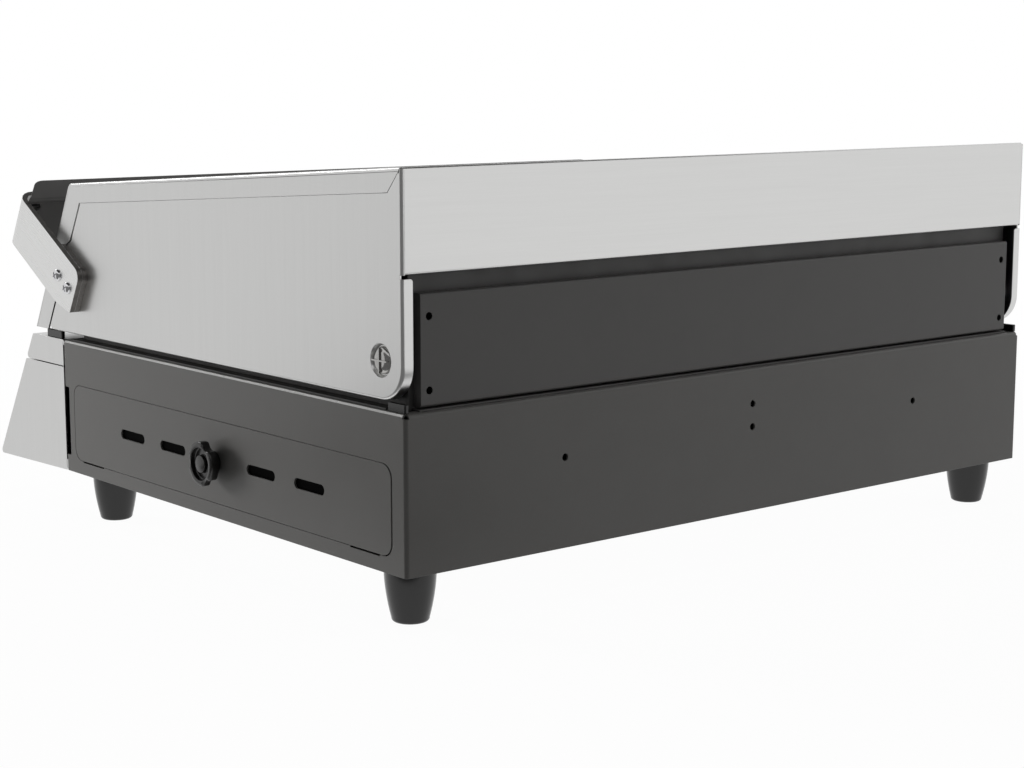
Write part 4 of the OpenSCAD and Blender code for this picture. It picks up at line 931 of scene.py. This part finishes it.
# Floor, world and lamps, in metres. The floor goes from nearWhite to white between shadowRadius and
# clearRadius. Each lamp has its place, target, diameter, power and whether reflections show it.
lightRig = {"floorSize": 40.0, "paper": 0.93, "shadowRadius": 0.45, "clearRadius": 1.3, "nearWhite": 0.965,
    "worldDiffuse": 0.1,
    "lamps": {
        "key": ((1.2, -1.9, 0.4), (0.2, -0.25, 0.1), 0.6, 40.0, False),
        "rear": ((-2.0, 1.3, 0.9), (-0.1, 0.1, 0.1), 1.2, 14.0, False),
        "top": ((0.1, 0.2, 2.3), (0.0, 0.0, 0.1), 1.6, 14.0, False),
        "front": ((-1.5, -1.9, 1.1), (0.0, -0.1, 0.1), 1.2, 11.0, False),
        "edge": ((0.35, -1.7, 1.25), (0.3, -0.1, 0.2), 0.4, 3.6, True)}}
# Cards that only reflections see: a grey wall behind the camera with the floor before it, a pale one
# beside it, each from its first to its last degree round Z, and a dark ceiling
cardRig = {"section": [(0.45, 0.001), (2.7, 0.001), (2.7, 1.5)], "steps": 24,
    "walls": [("darkCard", 5.0, 112.0, "#7a7a7a"), ("paleCard", 112.0, 220.0, "#eeeeee")],
    "ceilingHeight": 2.1, "ceilingRadius": 2.0, "ceilingSteps": 64, "ceilingColour": "#3a3a3a"}
cards = []
for name, start, end, colour in cardRig["walls"]:
    work = bmesh.new()
    strip = []
    for k in range(cardRig["steps"] + 1):
        turn = math.radians(start + (end - start) * k / cardRig["steps"])
        strip.append([work.verts.new((radius * math.sin(turn), radius * math.cos(turn), z))
            for radius, z in cardRig["section"]])
    for near, far in zip(strip, strip[1:]):
        for k in range(len(near) - 1):
            work.faces.new((near[k], far[k], far[k + 1], near[k + 1]))
    cards.append((holderOf(name, cleanMesh(name, work)), colour))
work = bmesh.new()
bmesh.ops.create_circle(work, cap_ends=True, radius=cardRig["ceilingRadius"],
    segments=cardRig["ceilingSteps"])
bmesh.ops.translate(work, verts=work.verts, vec=(0, 0, cardRig["ceilingHeight"]))
cards.append((holderOf("ceilingCard", cleanMesh("ceilingCard", work)), cardRig["ceilingColour"]))
for card, colour in cards:
    board, tree = emptyMaterial(card.name + "_board")
    glow = addNode(tree, "ShaderNodeEmission", inputs={"Color": linear(colour), "Strength": 1.0})
    addNode(tree, "ShaderNodeOutputMaterial", inputs={"Surface": glow.outputs[0]})
    card.data.materials.append(board)
    card.visible_camera = card.visible_diffuse = card.visible_shadow = card.visible_transmission = False


# 1 for rays that look straight at the studio: from the camera, off a mirror or through glass
def seenDirectly(tree):
    path = addNode(tree, "ShaderNodeLightPath")
    seen = path.outputs["Is Camera Ray"]
    for ray in ("Is Glossy Ray", "Is Transmission Ray"):
        wider = addNode(tree, "ShaderNodeMath", {"operation": "MAXIMUM"}, {0: seen, 1: path.outputs[ray]})
        seen = wider.outputs[0]
    return seen


work = bmesh.new()
bmesh.ops.create_grid(work, x_segments=1, y_segments=1, size=lightRig["floorSize"] / 2)
floor = holderOf("floor", cleanMesh("floor", work))
floorPaper, tree = emptyMaterial("white_studio_paper")
coords = addNode(tree, "ShaderNodeTexCoord")
distance = addNode(tree, "ShaderNodeVectorMath", {"operation": "LENGTH"}, {0: coords.outputs["Object"]})
clearing = addNode(tree, "ShaderNodeMapRange", {"interpolation_type": "SMOOTHSTEP"}, {
    "Value": distance.outputs["Value"], "From Min": lightRig["shadowRadius"],
    "From Max": lightRig["clearRadius"], "To Min": lightRig["nearWhite"], "To Max": 1.0})
share = addNode(tree, "ShaderNodeMath", {"operation": "MULTIPLY"}, {
    0: seenDirectly(tree), 1: clearing.outputs[0]})
paper = addNode(tree, "ShaderNodeBsdfDiffuse", inputs={"Color": [lightRig["paper"]] * 3 + [1]})
glow = addNode(tree, "ShaderNodeEmission", inputs={"Color": (1, 1, 1, 1), "Strength": 1.0})
surface = addNode(tree, "ShaderNodeMixShader", inputs={
    0: share.outputs[0], 1: paper.outputs[0], 2: glow.outputs[0]})
addNode(tree, "ShaderNodeOutputMaterial", inputs={"Surface": surface.outputs[0]})
floor.data.materials.append(floorPaper)

world = bpy.data.worlds.new("studio")
scene.world = world
world.use_nodes = True
tree = world.node_tree
tree.nodes.clear()
strength = addNode(tree, "ShaderNodeMapRange", inputs={
    "Value": seenDirectly(tree), "To Min": lightRig["worldDiffuse"], "To Max": 1.0})
glow = addNode(tree, "ShaderNodeBackground", inputs={"Color": (1, 1, 1, 1), "Strength": strength.outputs[0]})
addNode(tree, "ShaderNodeOutputWorld", inputs={"Surface": glow.outputs[0]})

for name, (at, target, size, power, reflected) in lightRig["lamps"].items():
    lamp = bpy.data.objects.new(name + "Lamp", bpy.data.lights.new(name + "Lamp", "AREA"))
    lamp.data.shape = "DISK"
    lamp.data.size = size
    lamp.data.energy = power
    lamp.location = at
    lamp.rotation_euler = (Vector(target) - Vector(at)).to_track_quat("-Z", "Y").to_euler()
    lamp.visible_glossy = reflected
    scene.collection.objects.link(lamp)
scene.view_settings.view_transform = "Standard"
print("camera, floor and lamps set")
